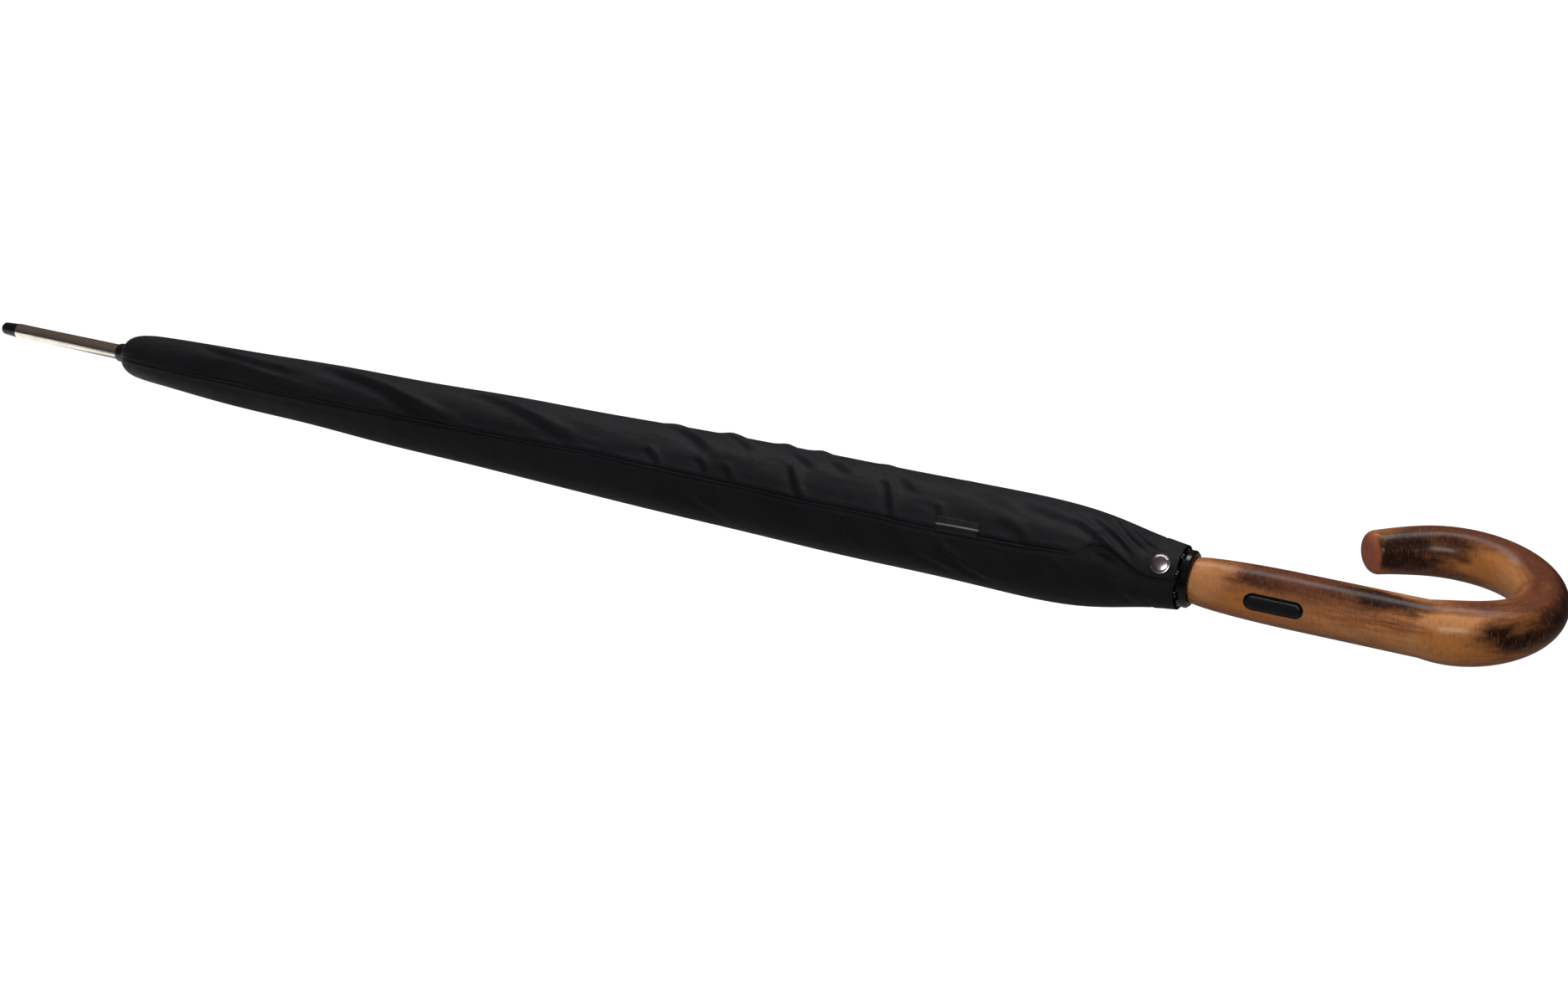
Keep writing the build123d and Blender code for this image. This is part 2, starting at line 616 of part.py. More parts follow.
for number, azimuth in enumerate(RIB_AZIMUTHS, start=1):
    with BuildPart() as gore:
        with BuildSketch(blade(azimuth + (360 / RIB_COUNT - GORE_SPAN) / 2)):
            add(shell_outline(CANOPY_LINE, ROLL_GAP, ROLL_GAP + CLOTH))
        revolve(axis=Axis.X, revolution_arc=GORE_SPAN)
    finish(gore, "canopy_gore_" + str(number))

STRAP_X = (-104.0, -88.0)
STRAP_R = RIB_LINE[3][1] + ROLL_GAP + CLOTH + 0.15
with BuildPart() as tie_strap:
    add(turned([
        (STRAP_X[0], STRAP_R),
        (STRAP_X[0], STRAP_R + CLOTH),
        (STRAP_X[1], STRAP_R + CLOTH),
        (STRAP_X[1], STRAP_R),
    ]))
finish(tie_strap, "tie_strap")

# ---------------------------------------------------------------- travel sleeve
SLEEVE_LINE = [
    (SLEEVE_START_X, 7.8),
    (-631.5, 10.4),
    (-627, 12.2),
    (-617, 13.4),
    (-600, 14.2),
    (-546, 16.1),
    (-442, 18.8),
    (-315, 21.6),
    (-199, 23.5),
    (-92, 24.1),
    (-42, 21.7),
    (-18, 16.7),
    (SLEEVE_MOUTH_X, 14.8),
]

with BuildPart() as sleeve_fabric:
    with BuildSketch(blade(SEAM_AZIMUTH)):
        add(shell_outline(SLEEVE_LINE, -CLOTH, 0))
    revolve(axis=Axis.X)
finish(sleeve_fabric, "sleeve_fabric")

PIPING_R = 0.8
with BuildPart() as sleeve_piping:
    with BuildLine(blade(SEAM_AZIMUTH)) as path:
        Spline(*[(x, r + PIPING_R + 0.7) for x, r in SLEEVE_LINE[3:-3] + [(-50, 22.7)]])
    with BuildSketch(Plane(path.line @ 0, z_dir=path.line % 0)):
        Circle(PIPING_R)
    sweep()
finish(sleeve_piping, "sleeve_piping")

LABEL_X = (-119.0, -97.5)
LABEL_HEIGHT = 6.2
LABEL_R = 25.4
LABEL_THICK = 0.7
with BuildPart() as sleeve_label:
    with BuildSketch(facing(SEAM_AZIMUTH - 10, LABEL_R)):
        with Locations(((LABEL_X[0] + LABEL_X[1]) / 2, 0)):
            Rectangle(LABEL_X[1] - LABEL_X[0], LABEL_HEIGHT)
    extrude(amount=LABEL_THICK)
finish(sleeve_label, "sleeve_label")

# ---------------------------------------------------------------- snap flap at the mouth
FLAP_X = (-44.0, -5.5)
FLAP_LIFT = (0.35, 1.05)
FLAP_AZIMUTHS = (114.0, 168.0)
FLAP_LINE = [(FLAP_X[0], 21.9), (-30, 19.2), (-18, 16.7), (FLAP_X[1], 14.9)]
SNAP_R = 15.85  # outside of the sleeve at the snap
STUD_R = 1.4
STUD_HEIGHT = 0.45
SOCKET_R = (1.5, 3.5)
SOCKET_THICK = 0.8

with BuildPart() as snap_flap:
    with BuildSketch(blade(FLAP_AZIMUTHS[0])):
        add(shell_outline(FLAP_LINE, *FLAP_LIFT))
    revolve(axis=Axis.X, revolution_arc=FLAP_AZIMUTHS[1] - FLAP_AZIMUTHS[0])
    with BuildSketch(facing(SNAP_AZIMUTH, SNAP_R - 1)):
        with Locations((SNAP_X, 0)):
            Circle(SOCKET_R[1] + RUNNING)
    extrude(amount=5, mode=Mode.SUBTRACT)
finish(snap_flap, "snap_flap")

with BuildPart() as snap_stud:
    with BuildSketch(facing(SNAP_AZIMUTH, SNAP_R + 0.05)):
        with Locations((SNAP_X, 0)):
            Circle(STUD_R)
    extrude(amount=STUD_HEIGHT)
    outer_edge = snap_stud.edges().filter_by(GeomType.CIRCLE).sort_by_distance(radial(SNAP_AZIMUTH) * 60)[0]
    fillet(outer_edge, radius=0.15)
finish(snap_stud, "snap_stud")

with BuildPart() as snap_socket:
    with BuildSketch(facing(SNAP_AZIMUTH, SNAP_R + 0.6)):
        with Locations((SNAP_X, 0)):
            Circle(SOCKET_R[1])
            Circle(SOCKET_R[0], mode=Mode.SUBTRACT)
    extrude(amount=SOCKET_THICK)
finish(snap_socket, "snap_socket")

SNAP_CAP_R = 4.7
SNAP_CAP_RISE = 1.9
with BuildPart() as snap_cap:
    with BuildSketch(Plane(radial(SNAP_AZIMUTH) * (SNAP_R + 1.65) + Vector(SNAP_X, 0, 0),
                           x_dir=(1, 0, 0), z_dir=tangent(SNAP_AZIMUTH))):
        with BuildLine():
            Line((0, 0), (SNAP_CAP_R - 0.3, 0))
            Line((SNAP_CAP_R - 0.3, 0), (SNAP_CAP_R, 0.3))
            Spline(
                (SNAP_CAP_R, 0.3),
                (SNAP_CAP_R * 0.72, 1.3),
                (0, SNAP_CAP_RISE),
                tangents=[(0, 1), (-1, 0)],
            )
            Line((0, SNAP_CAP_RISE), (0, 0))
        make_face()
    revolve(axis=Axis((SNAP_X, 0, 0), radial(SNAP_AZIMUTH)))
finish(snap_cap, "snap_cap")
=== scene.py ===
import json
import math
import random

import bmesh
import bpy
import numpy as np
from mathutils import Matrix, Vector

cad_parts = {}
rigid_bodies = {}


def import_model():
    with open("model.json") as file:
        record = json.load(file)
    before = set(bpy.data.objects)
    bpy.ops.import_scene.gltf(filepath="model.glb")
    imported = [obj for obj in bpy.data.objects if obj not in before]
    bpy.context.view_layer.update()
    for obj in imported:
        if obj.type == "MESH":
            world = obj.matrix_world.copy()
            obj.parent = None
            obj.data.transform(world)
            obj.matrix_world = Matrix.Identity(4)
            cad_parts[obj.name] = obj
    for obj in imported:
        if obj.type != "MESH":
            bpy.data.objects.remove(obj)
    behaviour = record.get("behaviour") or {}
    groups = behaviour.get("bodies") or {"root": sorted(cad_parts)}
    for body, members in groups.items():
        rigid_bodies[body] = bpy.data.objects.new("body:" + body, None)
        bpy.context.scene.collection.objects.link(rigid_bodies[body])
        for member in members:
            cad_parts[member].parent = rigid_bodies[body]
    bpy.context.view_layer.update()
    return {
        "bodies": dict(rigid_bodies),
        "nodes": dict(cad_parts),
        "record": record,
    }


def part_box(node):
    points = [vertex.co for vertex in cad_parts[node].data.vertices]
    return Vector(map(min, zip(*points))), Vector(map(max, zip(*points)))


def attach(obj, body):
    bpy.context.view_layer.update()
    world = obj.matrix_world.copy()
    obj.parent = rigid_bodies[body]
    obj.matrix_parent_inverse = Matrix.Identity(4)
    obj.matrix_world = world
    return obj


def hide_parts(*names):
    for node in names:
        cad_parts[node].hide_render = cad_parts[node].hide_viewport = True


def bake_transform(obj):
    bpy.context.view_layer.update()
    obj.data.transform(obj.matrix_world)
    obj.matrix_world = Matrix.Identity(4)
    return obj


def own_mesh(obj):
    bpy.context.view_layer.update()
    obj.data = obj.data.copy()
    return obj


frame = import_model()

# A closed stick umbrella in its travel sleeve. Everything is in metres, in the frame's own axes:
# the shaft lies along X with the crook at +X, and angles called "lift" are degrees above -Y, about X.
MM = 0.001
random.seed(7)
RIBS = sum(1 for name in frame["bodies"] if name.startswith("rib_"))
MOUNTS = {mount["name"]: mount for mount in frame["record"]["mounts"]}


# ---------------------------------------------------------------- small helpers
def smooth(value):
    """Smooth step from 0 to 1, for numbers and arrays."""
    t = np.clip(value, 0.0, 1.0)
    return t * t * (3 - 2 * t)


def bump(value):
    """Bell of height 1 and width 1."""
    return np.exp(-np.square(value))


def node_profile(name):
    """Outer radius about the shaft axis of a turned CAD node, as (x, radius) arrays."""
    vertices = frame["nodes"][name].data.vertices
    co = np.array([v.co for v in vertices])
    normal = np.array([v.normal for v in vertices])
    radius = np.hypot(co[:, 1], co[:, 2])
    outward = co[:, 1] * normal[:, 1] + co[:, 2] * normal[:, 2] > 0.1 * radius
    places = np.round(co[outward, 0], 4)
    radius = radius[outward]
    xs = np.unique(places)
    return xs, np.array([radius[places == x].max() for x in xs])


def on_shaft(x, radius, lift):
    """Point at a radius and a lift angle round the shaft."""
    a = np.radians(lift)
    return np.stack(np.broadcast_arrays(x, -radius * np.cos(a), radius * np.sin(a)), -1)


def grid_faces(rows, columns, closed=False):
    """Quads of a rows x columns grid; closed joins the last column to the first."""
    faces = []
    for row in range(rows - 1):
        near, far = row * columns, (row + 1) * columns
        for column in range(columns if closed else columns - 1):
            after = (column + 1) % columns
            faces.append((near + column, near + after, far + after, far + column))
    return faces


def make_mesh(name, points, faces, uv=None):
    """Smooth-shaded mesh object; uv is one (u, v) in metres per vertex."""
    mesh = bpy.data.meshes.new(name)
    mesh.from_pydata([tuple(p) for p in np.asarray(points).reshape(-1, 3)], [], faces)
    mesh.polygons.foreach_set("use_smooth", [True] * len(mesh.polygons))
    if uv is not None:
        layer = mesh.uv_layers.new(name="cloth")
        uv = np.asarray(uv).reshape(-1, 2)
        loops = np.zeros(len(mesh.loops), int)
        mesh.loops.foreach_get("vertex_index", loops)
        layer.data.foreach_set("uv", uv[loops].ravel())
    mesh.update()
    piece = bpy.data.objects.new(name, mesh)
    bpy.context.scene.collection.objects.link(piece)
    return piece


def face_outwards(piece):
    """Make a closed mesh's faces point outwards."""
    work = bmesh.new()
    work.from_mesh(piece.data)
    bmesh.ops.recalc_face_normals(work, faces=work.faces)
    work.to_mesh(piece.data)
    work.free()
    return piece


def thicken(piece, thickness, offset=-1.0):
    """Give a sheet its thickness."""
    shell = piece.modifiers.new("thickness", "SOLIDIFY")
    shell.thickness = thickness
    shell.offset = offset
    shell.use_rim = True
    return piece


def sweep_tube(name, path, radius, sides):
    """Round cord along a path of points; radius is one number or one per point."""
    path = np.asarray(path, float)
    radius = np.broadcast_to(radius, len(path))
    along = np.gradient(path, axis=0)
    along /= np.linalg.norm(along, axis=1)[:, None]
    guide = np.array([0.0, 0.0, 1.0])
    side = np.cross(along, guide)
    weak = np.linalg.norm(side, axis=1) < 0.2
    side[weak] = np.cross(along[weak], [0.0, 1.0, 0.0])
    side /= np.linalg.norm(side, axis=1)[:, None]
    up = np.cross(side, along)
    angles = np.linspace(0, 2 * math.pi, sides, endpoint=False)
    rings = path[:, None] + radius[:, None, None] * (
        side[:, None] * np.cos(angles)[None, :, None] + up[:, None] * np.sin(angles)[None, :, None]
    )
    faces = grid_faces(len(path), sides, closed=True)
    faces.append(tuple(range(sides - 1, -1, -1)))
    faces.append(tuple((len(path) - 1) * sides + i for i in range(sides)))
    length = np.concatenate([[0], np.cumsum(np.linalg.norm(np.diff(path, axis=0), axis=1))])
    uv = np.stack(np.broadcast_arrays(length[:, None], angles[None, :] * radius[:, None]), -1)
    return face_outwards(make_mesh(name, rings, faces, uv))


def lathe(name, outline, origin, axis, sides):
    """Turned piece from (radius, height) points round an axis; a radius of 0 closes it to a point."""
    axis = Vector(axis).normalized()
    side = axis.orthogonal().normalized()
    other = axis.cross(side)
    points, faces, rings = [], [], []
    for radius, height in outline:
        base = Vector(origin) + axis * height
        if radius < 1e-7:
            rings.append([len(points)])
            points.append(base)
            continue
        rings.append(list(range(len(points), len(points) + sides)))
        for i in range(sides):
            a = 2 * math.pi * i / sides
            points.append(base + (side * math.cos(a) + other * math.sin(a)) * radius)
    for lower, upper in zip(rings, rings[1:]):
        for i in range(sides):
            j = (i + 1) % sides
            quad = [ring[k % len(ring)] for ring, k in ((lower, i), (lower, j), (upper, j), (upper, i))]
            faces.append(tuple(dict.fromkeys(quad)))
    return face_outwards(make_mesh(name, points, faces))


# ---------------------------------------------------------------- node materials
class Shader:
    """A material being built node by node."""

    def __init__(self, name, colour, roughness, metallic=0.0):
        self.material = bpy.data.materials.new(name)
        self.material.use_nodes = True
        self.tree = self.material.node_tree
        self.surface = self.tree.nodes["Principled BSDF"]
        self.surface.inputs["Base Color"].default_value = (*colour, 1)
        self.surface.inputs["Roughness"].default_value = roughness
        self.surface.inputs["Metallic"].default_value = metallic

    def node(self, kind, inputs=None, **settings):
        made = self.tree.nodes.new("ShaderNode" + kind)
        for key, value in settings.items():
            setattr(made, key, value)
        for key, value in (inputs or {}).items():
            self.feed(made.inputs[key], value)
        return made

    def feed(self, socket, value):
        if isinstance(value, bpy.types.NodeSocket):
            self.tree.links.new(value, socket)
        else:
            socket.default_value = value

    def set(self, **inputs):
        for key, value in inputs.items():
            self.feed(self.surface.inputs[key.replace("_", " ")], value)

    def maths(self, operation, a, b=0.0, clamp=False):
        return self.node("Math", {0: a, 1: b}, operation=operation, use_clamp=clamp).outputs[0]

    def coordinates(self, scale=(1, 1, 1), uv=False):
        source = self.node("TexCoord").outputs["UV" if uv else "Object"]
        return self.node("Mapping", {"Vector": source, "Scale": scale}).outputs[0]

    def noise(self, vector, scale, detail=3.0, roughness=0.5):
        inputs = {"Vector": vector, "Scale": scale, "Detail": detail, "Roughness": roughness}
        return self.node("TexNoise", inputs).outputs["Fac"]

    def ramp(self, factor, *stops):
        made = self.node("ValToRGB", {"Fac": factor})
        elements = made.color_ramp.elements
        while len(elements) < len(stops):
            elements.new(0.5)
        for element, (place, colour) in zip(elements, stops):
            element.position = place
            element.color = (*colour, 1) if len(colour) == 3 else colour
        return made.outputs["Color"]

    def mix(self, factor, a, b):
        made = self.node("Mix", data_type="RGBA")
        colours = [socket for socket in made.inputs if socket.type == "RGBA"]
        self.feed(made.inputs[0], factor)
        self.feed(colours[0], a)
        self.feed(colours[1], b)
        return next(socket for socket in made.outputs if socket.type == "RGBA")

    def relief(self, height, distance, strength, under=None):
        inputs = {"Height": height, "Distance": distance, "Strength": strength}
        if under is not None:
            inputs["Normal"] = under
        return self.node("Bump", inputs).outputs["Normal"]


def grey(value):
    """Neutral colour."""
    return (value, value, value)


def woven(name, colour, light, thread, sheen, roughness=0.6):
    """Fine plain-weave cloth: crossing threads, faint slubs and a soft sheen."""
    s = Shader(name, colour, roughness)
    cloth = s.coordinates(uv=True)
    warp = s.node("TexWave", {"Vector": cloth, "Scale": 0.5 / thread, "Distortion": 0.4, "Detail": 1.0},
                  wave_type="BANDS", bands_direction="X").outputs["Fac"]
    weft = s.node("TexWave", {"Vector": cloth, "Scale": 0.5 / thread, "Distortion": 0.4, "Detail": 1.0},
                  wave_type="BANDS", bands_direction="Y").outputs["Fac"]
    threads = s.maths("MULTIPLY", warp, weft)
    place = s.coordinates()
    slubs = s.noise(s.coordinates(scale=(900, 2600, 1), uv=True), 1.0, 2.0)
    patches = s.noise(place, 38.0, 4.0, 0.6)
    tone = s.ramp(patches, (0.3, colour), (0.75, light))
    tone = s.mix(s.maths("MULTIPLY", slubs, 0.25), tone, (*[c * 1.6 for c in light], 1))
    rough = s.maths("ADD", s.maths("MULTIPLY", patches, 0.18), roughness - 0.09)
    crumple = s.noise(s.coordinates(scale=(0.6, 1.5, 1.5)), 52.0, 2.0, 0.45)
    creased = s.relief(crumple, 0.0030, 0.75)
    soft = s.relief(s.noise(place, 260.0, 3.0), 0.0004, 0.25, under=creased)
    fine = s.relief(threads, thread * 0.5, 0.35, under=soft)
    s.set(Base_Color=tone, Roughness=rough, Normal=fine)
    s.set(Sheen_Weight=sheen, Sheen_Roughness=0.35, Sheen_Tint=(0.8, 0.75, 0.9, 1), Specular_IOR_Level=0.07)
    return s.material


# Tones of the wood laid on as soft patches: scorch marks and colour of the wood, with painted highlight in
# the amber and orange patches at the start of the bend: (tone, strength, place along the fibre in mm from
# the bend, half length, direction round the fibre in degrees from the throat towards +Z, half width)
AMBER_TONE_AND_HIGHLIGHT, ORANGE_TONE_AND_HIGHLIGHT = (0.47, 0.208, 0.080), (0.40, 0.150, 0.040)
SCORCH, UMBER = (0.014, 0.0045, 0.0030), (0.088, 0.027, 0.013)
WOOD_TONES_AND_PAINTED_HIGHLIGHTS = (
    (AMBER_TONE_AND_HIGHLIGHT, 0.95, -97, 16, 150, 75),
    (ORANGE_TONE_AND_HIGHLIGHT, 0.75, -72, 22, 196, 60),
    (AMBER_TONE_AND_HIGHLIGHT, 0.50, -34, 40, 196, 40),
    (AMBER_TONE_AND_HIGHLIGHT, 0.65, -10, 20, 78, 30),
    (UMBER, 1.00, -58, 46, 104, 56),
    (SCORCH, 0.50, -74, 16, 122, 20),
    (SCORCH, 1.00, -18, 28, 112, 34),
    (UMBER, 0.25, -50, 60, 240, 40),
    # painted highlight: this amber patch and the orange one after it stand in for the gloss at the start of
    # the bend
    (AMBER_TONE_AND_HIGHLIGHT, 0.80, -2, 16, 196, 34),
    (ORANGE_TONE_AND_HIGHLIGHT, 0.90, 12, 16, 172, 44),
    (UMBER, 0.80, 34, 36, 100, 38),
    (SCORCH, 0.85, 36, 22, 166, 46),
    (AMBER_TONE_AND_HIGHLIGHT, 1.00, 10, 17, 134, 26),
    (ORANGE_TONE_AND_HIGHLIGHT, 0.60, 46, 12, 140, 22),
    (SCORCH, 0.95, 60, 26, 158, 46),
    (UMBER, 1.00, 84, 54, 100, 56),
    (SCORCH, 0.95, 84, 44, 180, 80),
    (AMBER_TONE_AND_HIGHLIGHT, 0.90, 92, 26, 4, 54),
    (ORANGE_TONE_AND_HIGHLIGHT, 0.90, 116, 26, 20, 50),
    (UMBER, 0.95, 134, 44, 84, 50),
    (SCORCH, 0.80, 130, 22, 30, 30),
    (SCORCH, 1.00, 167, 38, 24, 90),
    (UMBER, 0.80, 140, 44, -54, 44),
)
ARM_FROM = 0.150  # along the fibre, where the free arm's end can begin
ARM_POINTS = (-0.755, -0.656, 0)  # the way its end faces


def bent_wood(name, bend_centre, bend_radius):
    """Scorched, lacquered wood whose grain and patches follow the straight grip and then the bend; some
    patches at the bend are painted highlight.
    """
    s = Shader(name, (0.2, 0.08, 0.03), 0.3)
    parts = s.node("SeparateXYZ", {"Vector": s.node("TexCoord").outputs["Object"]}).outputs
    x = s.maths("SUBTRACT", parts["X"], bend_centre[0])
    y = s.maths("SUBTRACT", bend_centre[1], parts["Y"])
    turn = s.maths("ARCTAN2", x, y)
    # past half a turn the angle wraps, so the free arm gets a whole turn added
    beyond = s.maths("MULTIPLY", s.maths("LESS_THAN", x, 0.0), s.maths("LESS_THAN", y, 0.0))
    turn = s.maths("ADD", turn, s.maths("MULTIPLY", beyond, 2 * math.pi))
    straight = s.maths("MULTIPLY", s.maths("LESS_THAN", x, 0.0), s.maths("GREATER_THAN", y, 0.0))
    flat = s.node("CombineXYZ", {"X": x, "Y": y}).outputs[0]
    reach = s.node("VectorMath", {0: flat}, operation="LENGTH").outputs["Value"]

    def choose(bent, grip):
        return s.node("Mix", {0: straight, 2: bent, 3: grip}, data_type="FLOAT").outputs[0]

    along = choose(s.maths("MULTIPLY", turn, bend_radius), x)
    inward = choose(s.maths("SUBTRACT", bend_radius, reach), s.maths("SUBTRACT", bend_radius, y))
    fibre = s.node("CombineXYZ", {"X": along, "Y": inward, "Z": parts["Z"]}).outputs[0]
    section = s.node("CombineXYZ", {"X": inward, "Y": parts["Z"]}).outputs[0]
    round_it = s.node("VectorMath", {0: section}, operation="NORMALIZE").outputs["Vector"]

    def stretched(scale, size, detail, rough=0.55):
        return s.noise(s.node("Mapping", {"Vector": fibre, "Scale": scale}).outputs[0], size, detail, rough)

    grain = stretched((9, 70, 70), 9.0, 6.0, 0.65)
    figure = stretched((5, 26, 26), 5.0, 3.0)
    fleck = stretched((300, 55, 55), 6.0, 2.0)
    cloud = stretched((16, 34, 34), 2.4, 4.0, 0.6)
    dark, plain, pale = (0.12, 0.038, 0.013), (0.26, 0.091, 0.031), (0.42, 0.172, 0.064)
    base = s.ramp(grain, (0.30, dark), (0.5, plain), (0.70, pale))
    base = s.mix(s.ramp(figure, (0.45, grey(0.0)), (0.72, grey(0.5))), base, (0.36, 0.148, 0.052, 1))

    def soft_step(value, low, high):
        inputs = {"Value": value, "From Min": low, "From Max": high}
        return s.node("MapRange", inputs, interpolation_type="SMOOTHSTEP", clamp=True).outputs["Result"]

    wander = s.maths("MULTIPLY", s.maths("SUBTRACT", cloud, 0.5), 0.045)
    moved = s.maths("ADD", along, wander)
    # each patch is a scorch mark or a tone of the wood, except the amber and orange patches at the bend's
    # start, which are painted highlight
    for tone, strength, place, half, direction, spread in WOOD_TONES_AND_PAINTED_HIGHLIGHTS:
        off = s.maths("ABSOLUTE", s.maths("SUBTRACT", moved, place * MM))
        lengthways = soft_step(off, 1.15 * half * MM, 0.1 * half * MM)
        pointer = (math.cos(math.radians(direction)), math.sin(math.radians(direction)), 0)
        facing = s.node("VectorMath", {0: round_it, 1: pointer}, operation="DOT_PRODUCT").outputs["Value"]
        facing = s.maths("ADD", facing, s.maths("MULTIPLY", s.maths("SUBTRACT", figure, 0.5), 0.35))
        sideways = soft_step(facing, math.cos(math.radians(spread)), math.cos(math.radians(spread * 0.2)))
        weight = s.maths("MULTIPLY", s.maths("MULTIPLY", lengthways, sideways), strength)
        uneven = s.maths("ADD", s.maths("MULTIPLY", cloud, 1.4), 0.45)
        base = s.mix(s.maths("MULTIPLY", weight, uneven, clamp=True), base, (*tone, 1))
    normal = s.node("NewGeometry").outputs["Normal"]
    end_on = s.node("VectorMath", {0: normal, 1: ARM_POINTS}, operation="DOT_PRODUCT").outputs["Value"]
    at_end = s.maths("MULTIPLY", soft_step(end_on, 0.45, 0.85), s.maths("GREATER_THAN", along, ARM_FROM))
    base = s.mix(at_end, base, (0.30, 0.085, 0.045, 1))
    lines = s.mix(s.ramp(fleck, (0.50, grey(0.0)), (0.72, grey(0.13))), base, (0.46, 0.24, 0.12, 1))
    lines = s.mix(s.ramp(fleck, (0.28, grey(0.32)), (0.47, grey(0.0))), lines, (0.05, 0.018, 0.010, 1))
    pores = s.relief(fleck, 0.0001, 0.25, under=s.relief(grain, 0.0002, 0.3))
    rough = s.maths("ADD", s.maths("MULTIPLY", grain, 0.16), 0.27)
    s.set(Base_Color=lines, Roughness=rough, Normal=pores, Specular_IOR_Level=0.07)
    s.set(Coat_Weight=0.10, Coat_Roughness=0.12)
    return s.material


def plastic(name, colour, roughness, coat=0.0, grain=0.0002):
    """Moulded plastic with a faint orange-peel and handling wear in its gloss."""
    s = Shader(name, colour, roughness)
    place = s.coordinates()
    worn = s.noise(place, 180.0, 4.0, 0.6)
    s.set(Base_Color=s.ramp(worn, (0.3, colour), (0.8, tuple(c * 1.5 + 0.001 for c in colour))))
    s.set(Roughness=s.maths("ADD", s.maths("MULTIPLY", worn, 0.16), roughness - 0.06))
    s.set(Normal=s.relief(s.noise(place, 900.0, 2.0), grain, 0.3), Coat_Weight=coat, Coat_Roughness=0.06)
    s.set(Specular_IOR_Level=0.3)
    return s.material


def metal(name, colour, dark, roughness):
    """Drawn or turned metal: fine streaks, a little tarnish and fingerprints in the gloss."""
    s = Shader(name, colour, roughness, metallic=1.0)
    streaks = s.noise(s.coordinates(scale=(40, 900, 900)), 4.0, 3.0)
    tarnish = s.noise(s.coordinates(), 90.0, 5.0, 0.65)
    s.set(Base_Color=s.mix(s.ramp(tarnish, (0.45, grey(0.0)), (0.8, grey(0.6))), (*colour, 1), (*dark, 1)))
    s.set(Roughness=s.maths("ADD", s.maths("MULTIPLY", tarnish, 0.22), roughness - 0.08))
    s.set(Normal=s.relief(streaks, 0.00005, 0.4))
    return s.material


def label_cloth(name):
    """Woven satin label: fine ribs across it and one plain grey stripe."""
    s = Shader(name, (0.012, 0.012, 0.014), 0.5)
    cloth = s.coordinates(uv=True)
    ribs = s.node("TexWave", {"Vector": cloth, "Scale": 900.0}, bands_direction="X").outputs["Fac"]
    across = s.node("SeparateXYZ", {"Vector": cloth}).outputs["Y"]
    above, below = s.maths("GREATER_THAN", across, 0.0027), s.maths("LESS_THAN", across, 0.0034)
    stripe = s.maths("MULTIPLY", above, below)
    shade = s.mix(s.maths("MULTIPLY", ribs, 0.3), (0.004, 0.004, 0.005, 1), (0.010, 0.010, 0.012, 1))
    s.set(Base_Color=s.mix(stripe, shade, (0.16, 0.16, 0.165, 1)), Normal=s.relief(ribs, 0.0002, 0.5))
    s.set(Specular_IOR_Level=0.2)
    return s.material


SLEEVE_CLOTH = woven("sleeve_cloth", (0.0062, 0.0058, 0.0069), (0.0104, 0.0098, 0.0116), 0.00045, 0.02, 0.46)
CANOPY_CLOTH = woven("canopy_cloth", (0.0070, 0.0068, 0.0085), (0.012, 0.0115, 0.0145), 0.00035, 0.04, 0.4)
THREAD = woven("sewing_thread", (0.009, 0.009, 0.011), (0.016, 0.016, 0.019), 0.00025, 0.1)
LABEL = label_cloth("woven_label")
PEWTER = metal("pewter", (0.38, 0.35, 0.365), (0.14, 0.12, 0.13), 0.2)
NICKEL = metal("polished_nickel", (0.80, 0.74, 0.67), (0.55, 0.47, 0.40), 0.14)
DARK_METAL = metal("dark_lacquered_metal", (0.06, 0.055, 0.055), (0.03, 0.025, 0.025), 0.34)
SPRING_STEEL = metal("spring_steel", (0.50, 0.50, 0.52), (0.30, 0.29, 0.28), 0.3)
BLACK_STEEL = plastic("blackened_steel", (0.018, 0.018, 0.02), 0.32, 0.4)
BLACK_PLASTIC = plastic("satin_black_plastic", (0.0035, 0.0035, 0.004), 0.34)
GLOSS_BLACK = plastic("gloss_black_plastic", (0.002, 0.002, 0.0024), 0.15, 0.0, 0.0001)
HOOK_RADIUS = MOUNTS["hook_throat"]["pos_m"][1]
HOOK_CENTRE = (MOUNTS["grip"]["dims"]["length_mm"] * MM, HOOK_RADIUS)
WOOD = bent_wood("scorched_wood", HOOK_CENTRE, HOOK_RADIUS)


# ---------------------------------------------------------------- the CAD pieces that stay as they are
def dress_cad_nodes():
    """Give every carried-over CAD node its material, smooth shading and softened edges."""
    dress = {
        "handle": WOOD,
        "ferrule_tube": NICKEL,
        "top_collar": DARK_METAL,
        "ferrule_tip": BLACK_PLASTIC,
        "shaft_tube": BLACK_STEEL,
        "crown": BLACK_PLASTIC,
        "runner": BLACK_PLASTIC,
        "spring_plunger": BLACK_PLASTIC,
        "shaft_plug": BLACK_PLASTIC,
        "tip_cup": GLOSS_BLACK,
        "button_bezel": GLOSS_BLACK,
        "push_button": BLACK_PLASTIC,
        "release_lever": SPRING_STEEL,
        "open_catch": SPRING_STEEL,
        "crown_wire": SPRING_STEEL,
        "drive_spring": SPRING_STEEL,
        "lever_pin": SPRING_STEEL,
        "coupling_pin": SPRING_STEEL,
    }
    for i in range(1, RIBS + 1):
        dress[f"rib_{i}"] = BLACK_STEEL
        dress[f"stretcher_{i}"] = BLACK_STEEL
        dress[f"rib_tip_{i}"] = GLOSS_BLACK
    for name, material in dress.items():
        node = frame["nodes"][name]
        node.data.materials.clear()
        node.data.materials.append(material)
        node.data.polygons.foreach_set("use_smooth", [True] * len(node.data.polygons))
        node.data.set_sharp_from_angle(angle=math.radians(32))


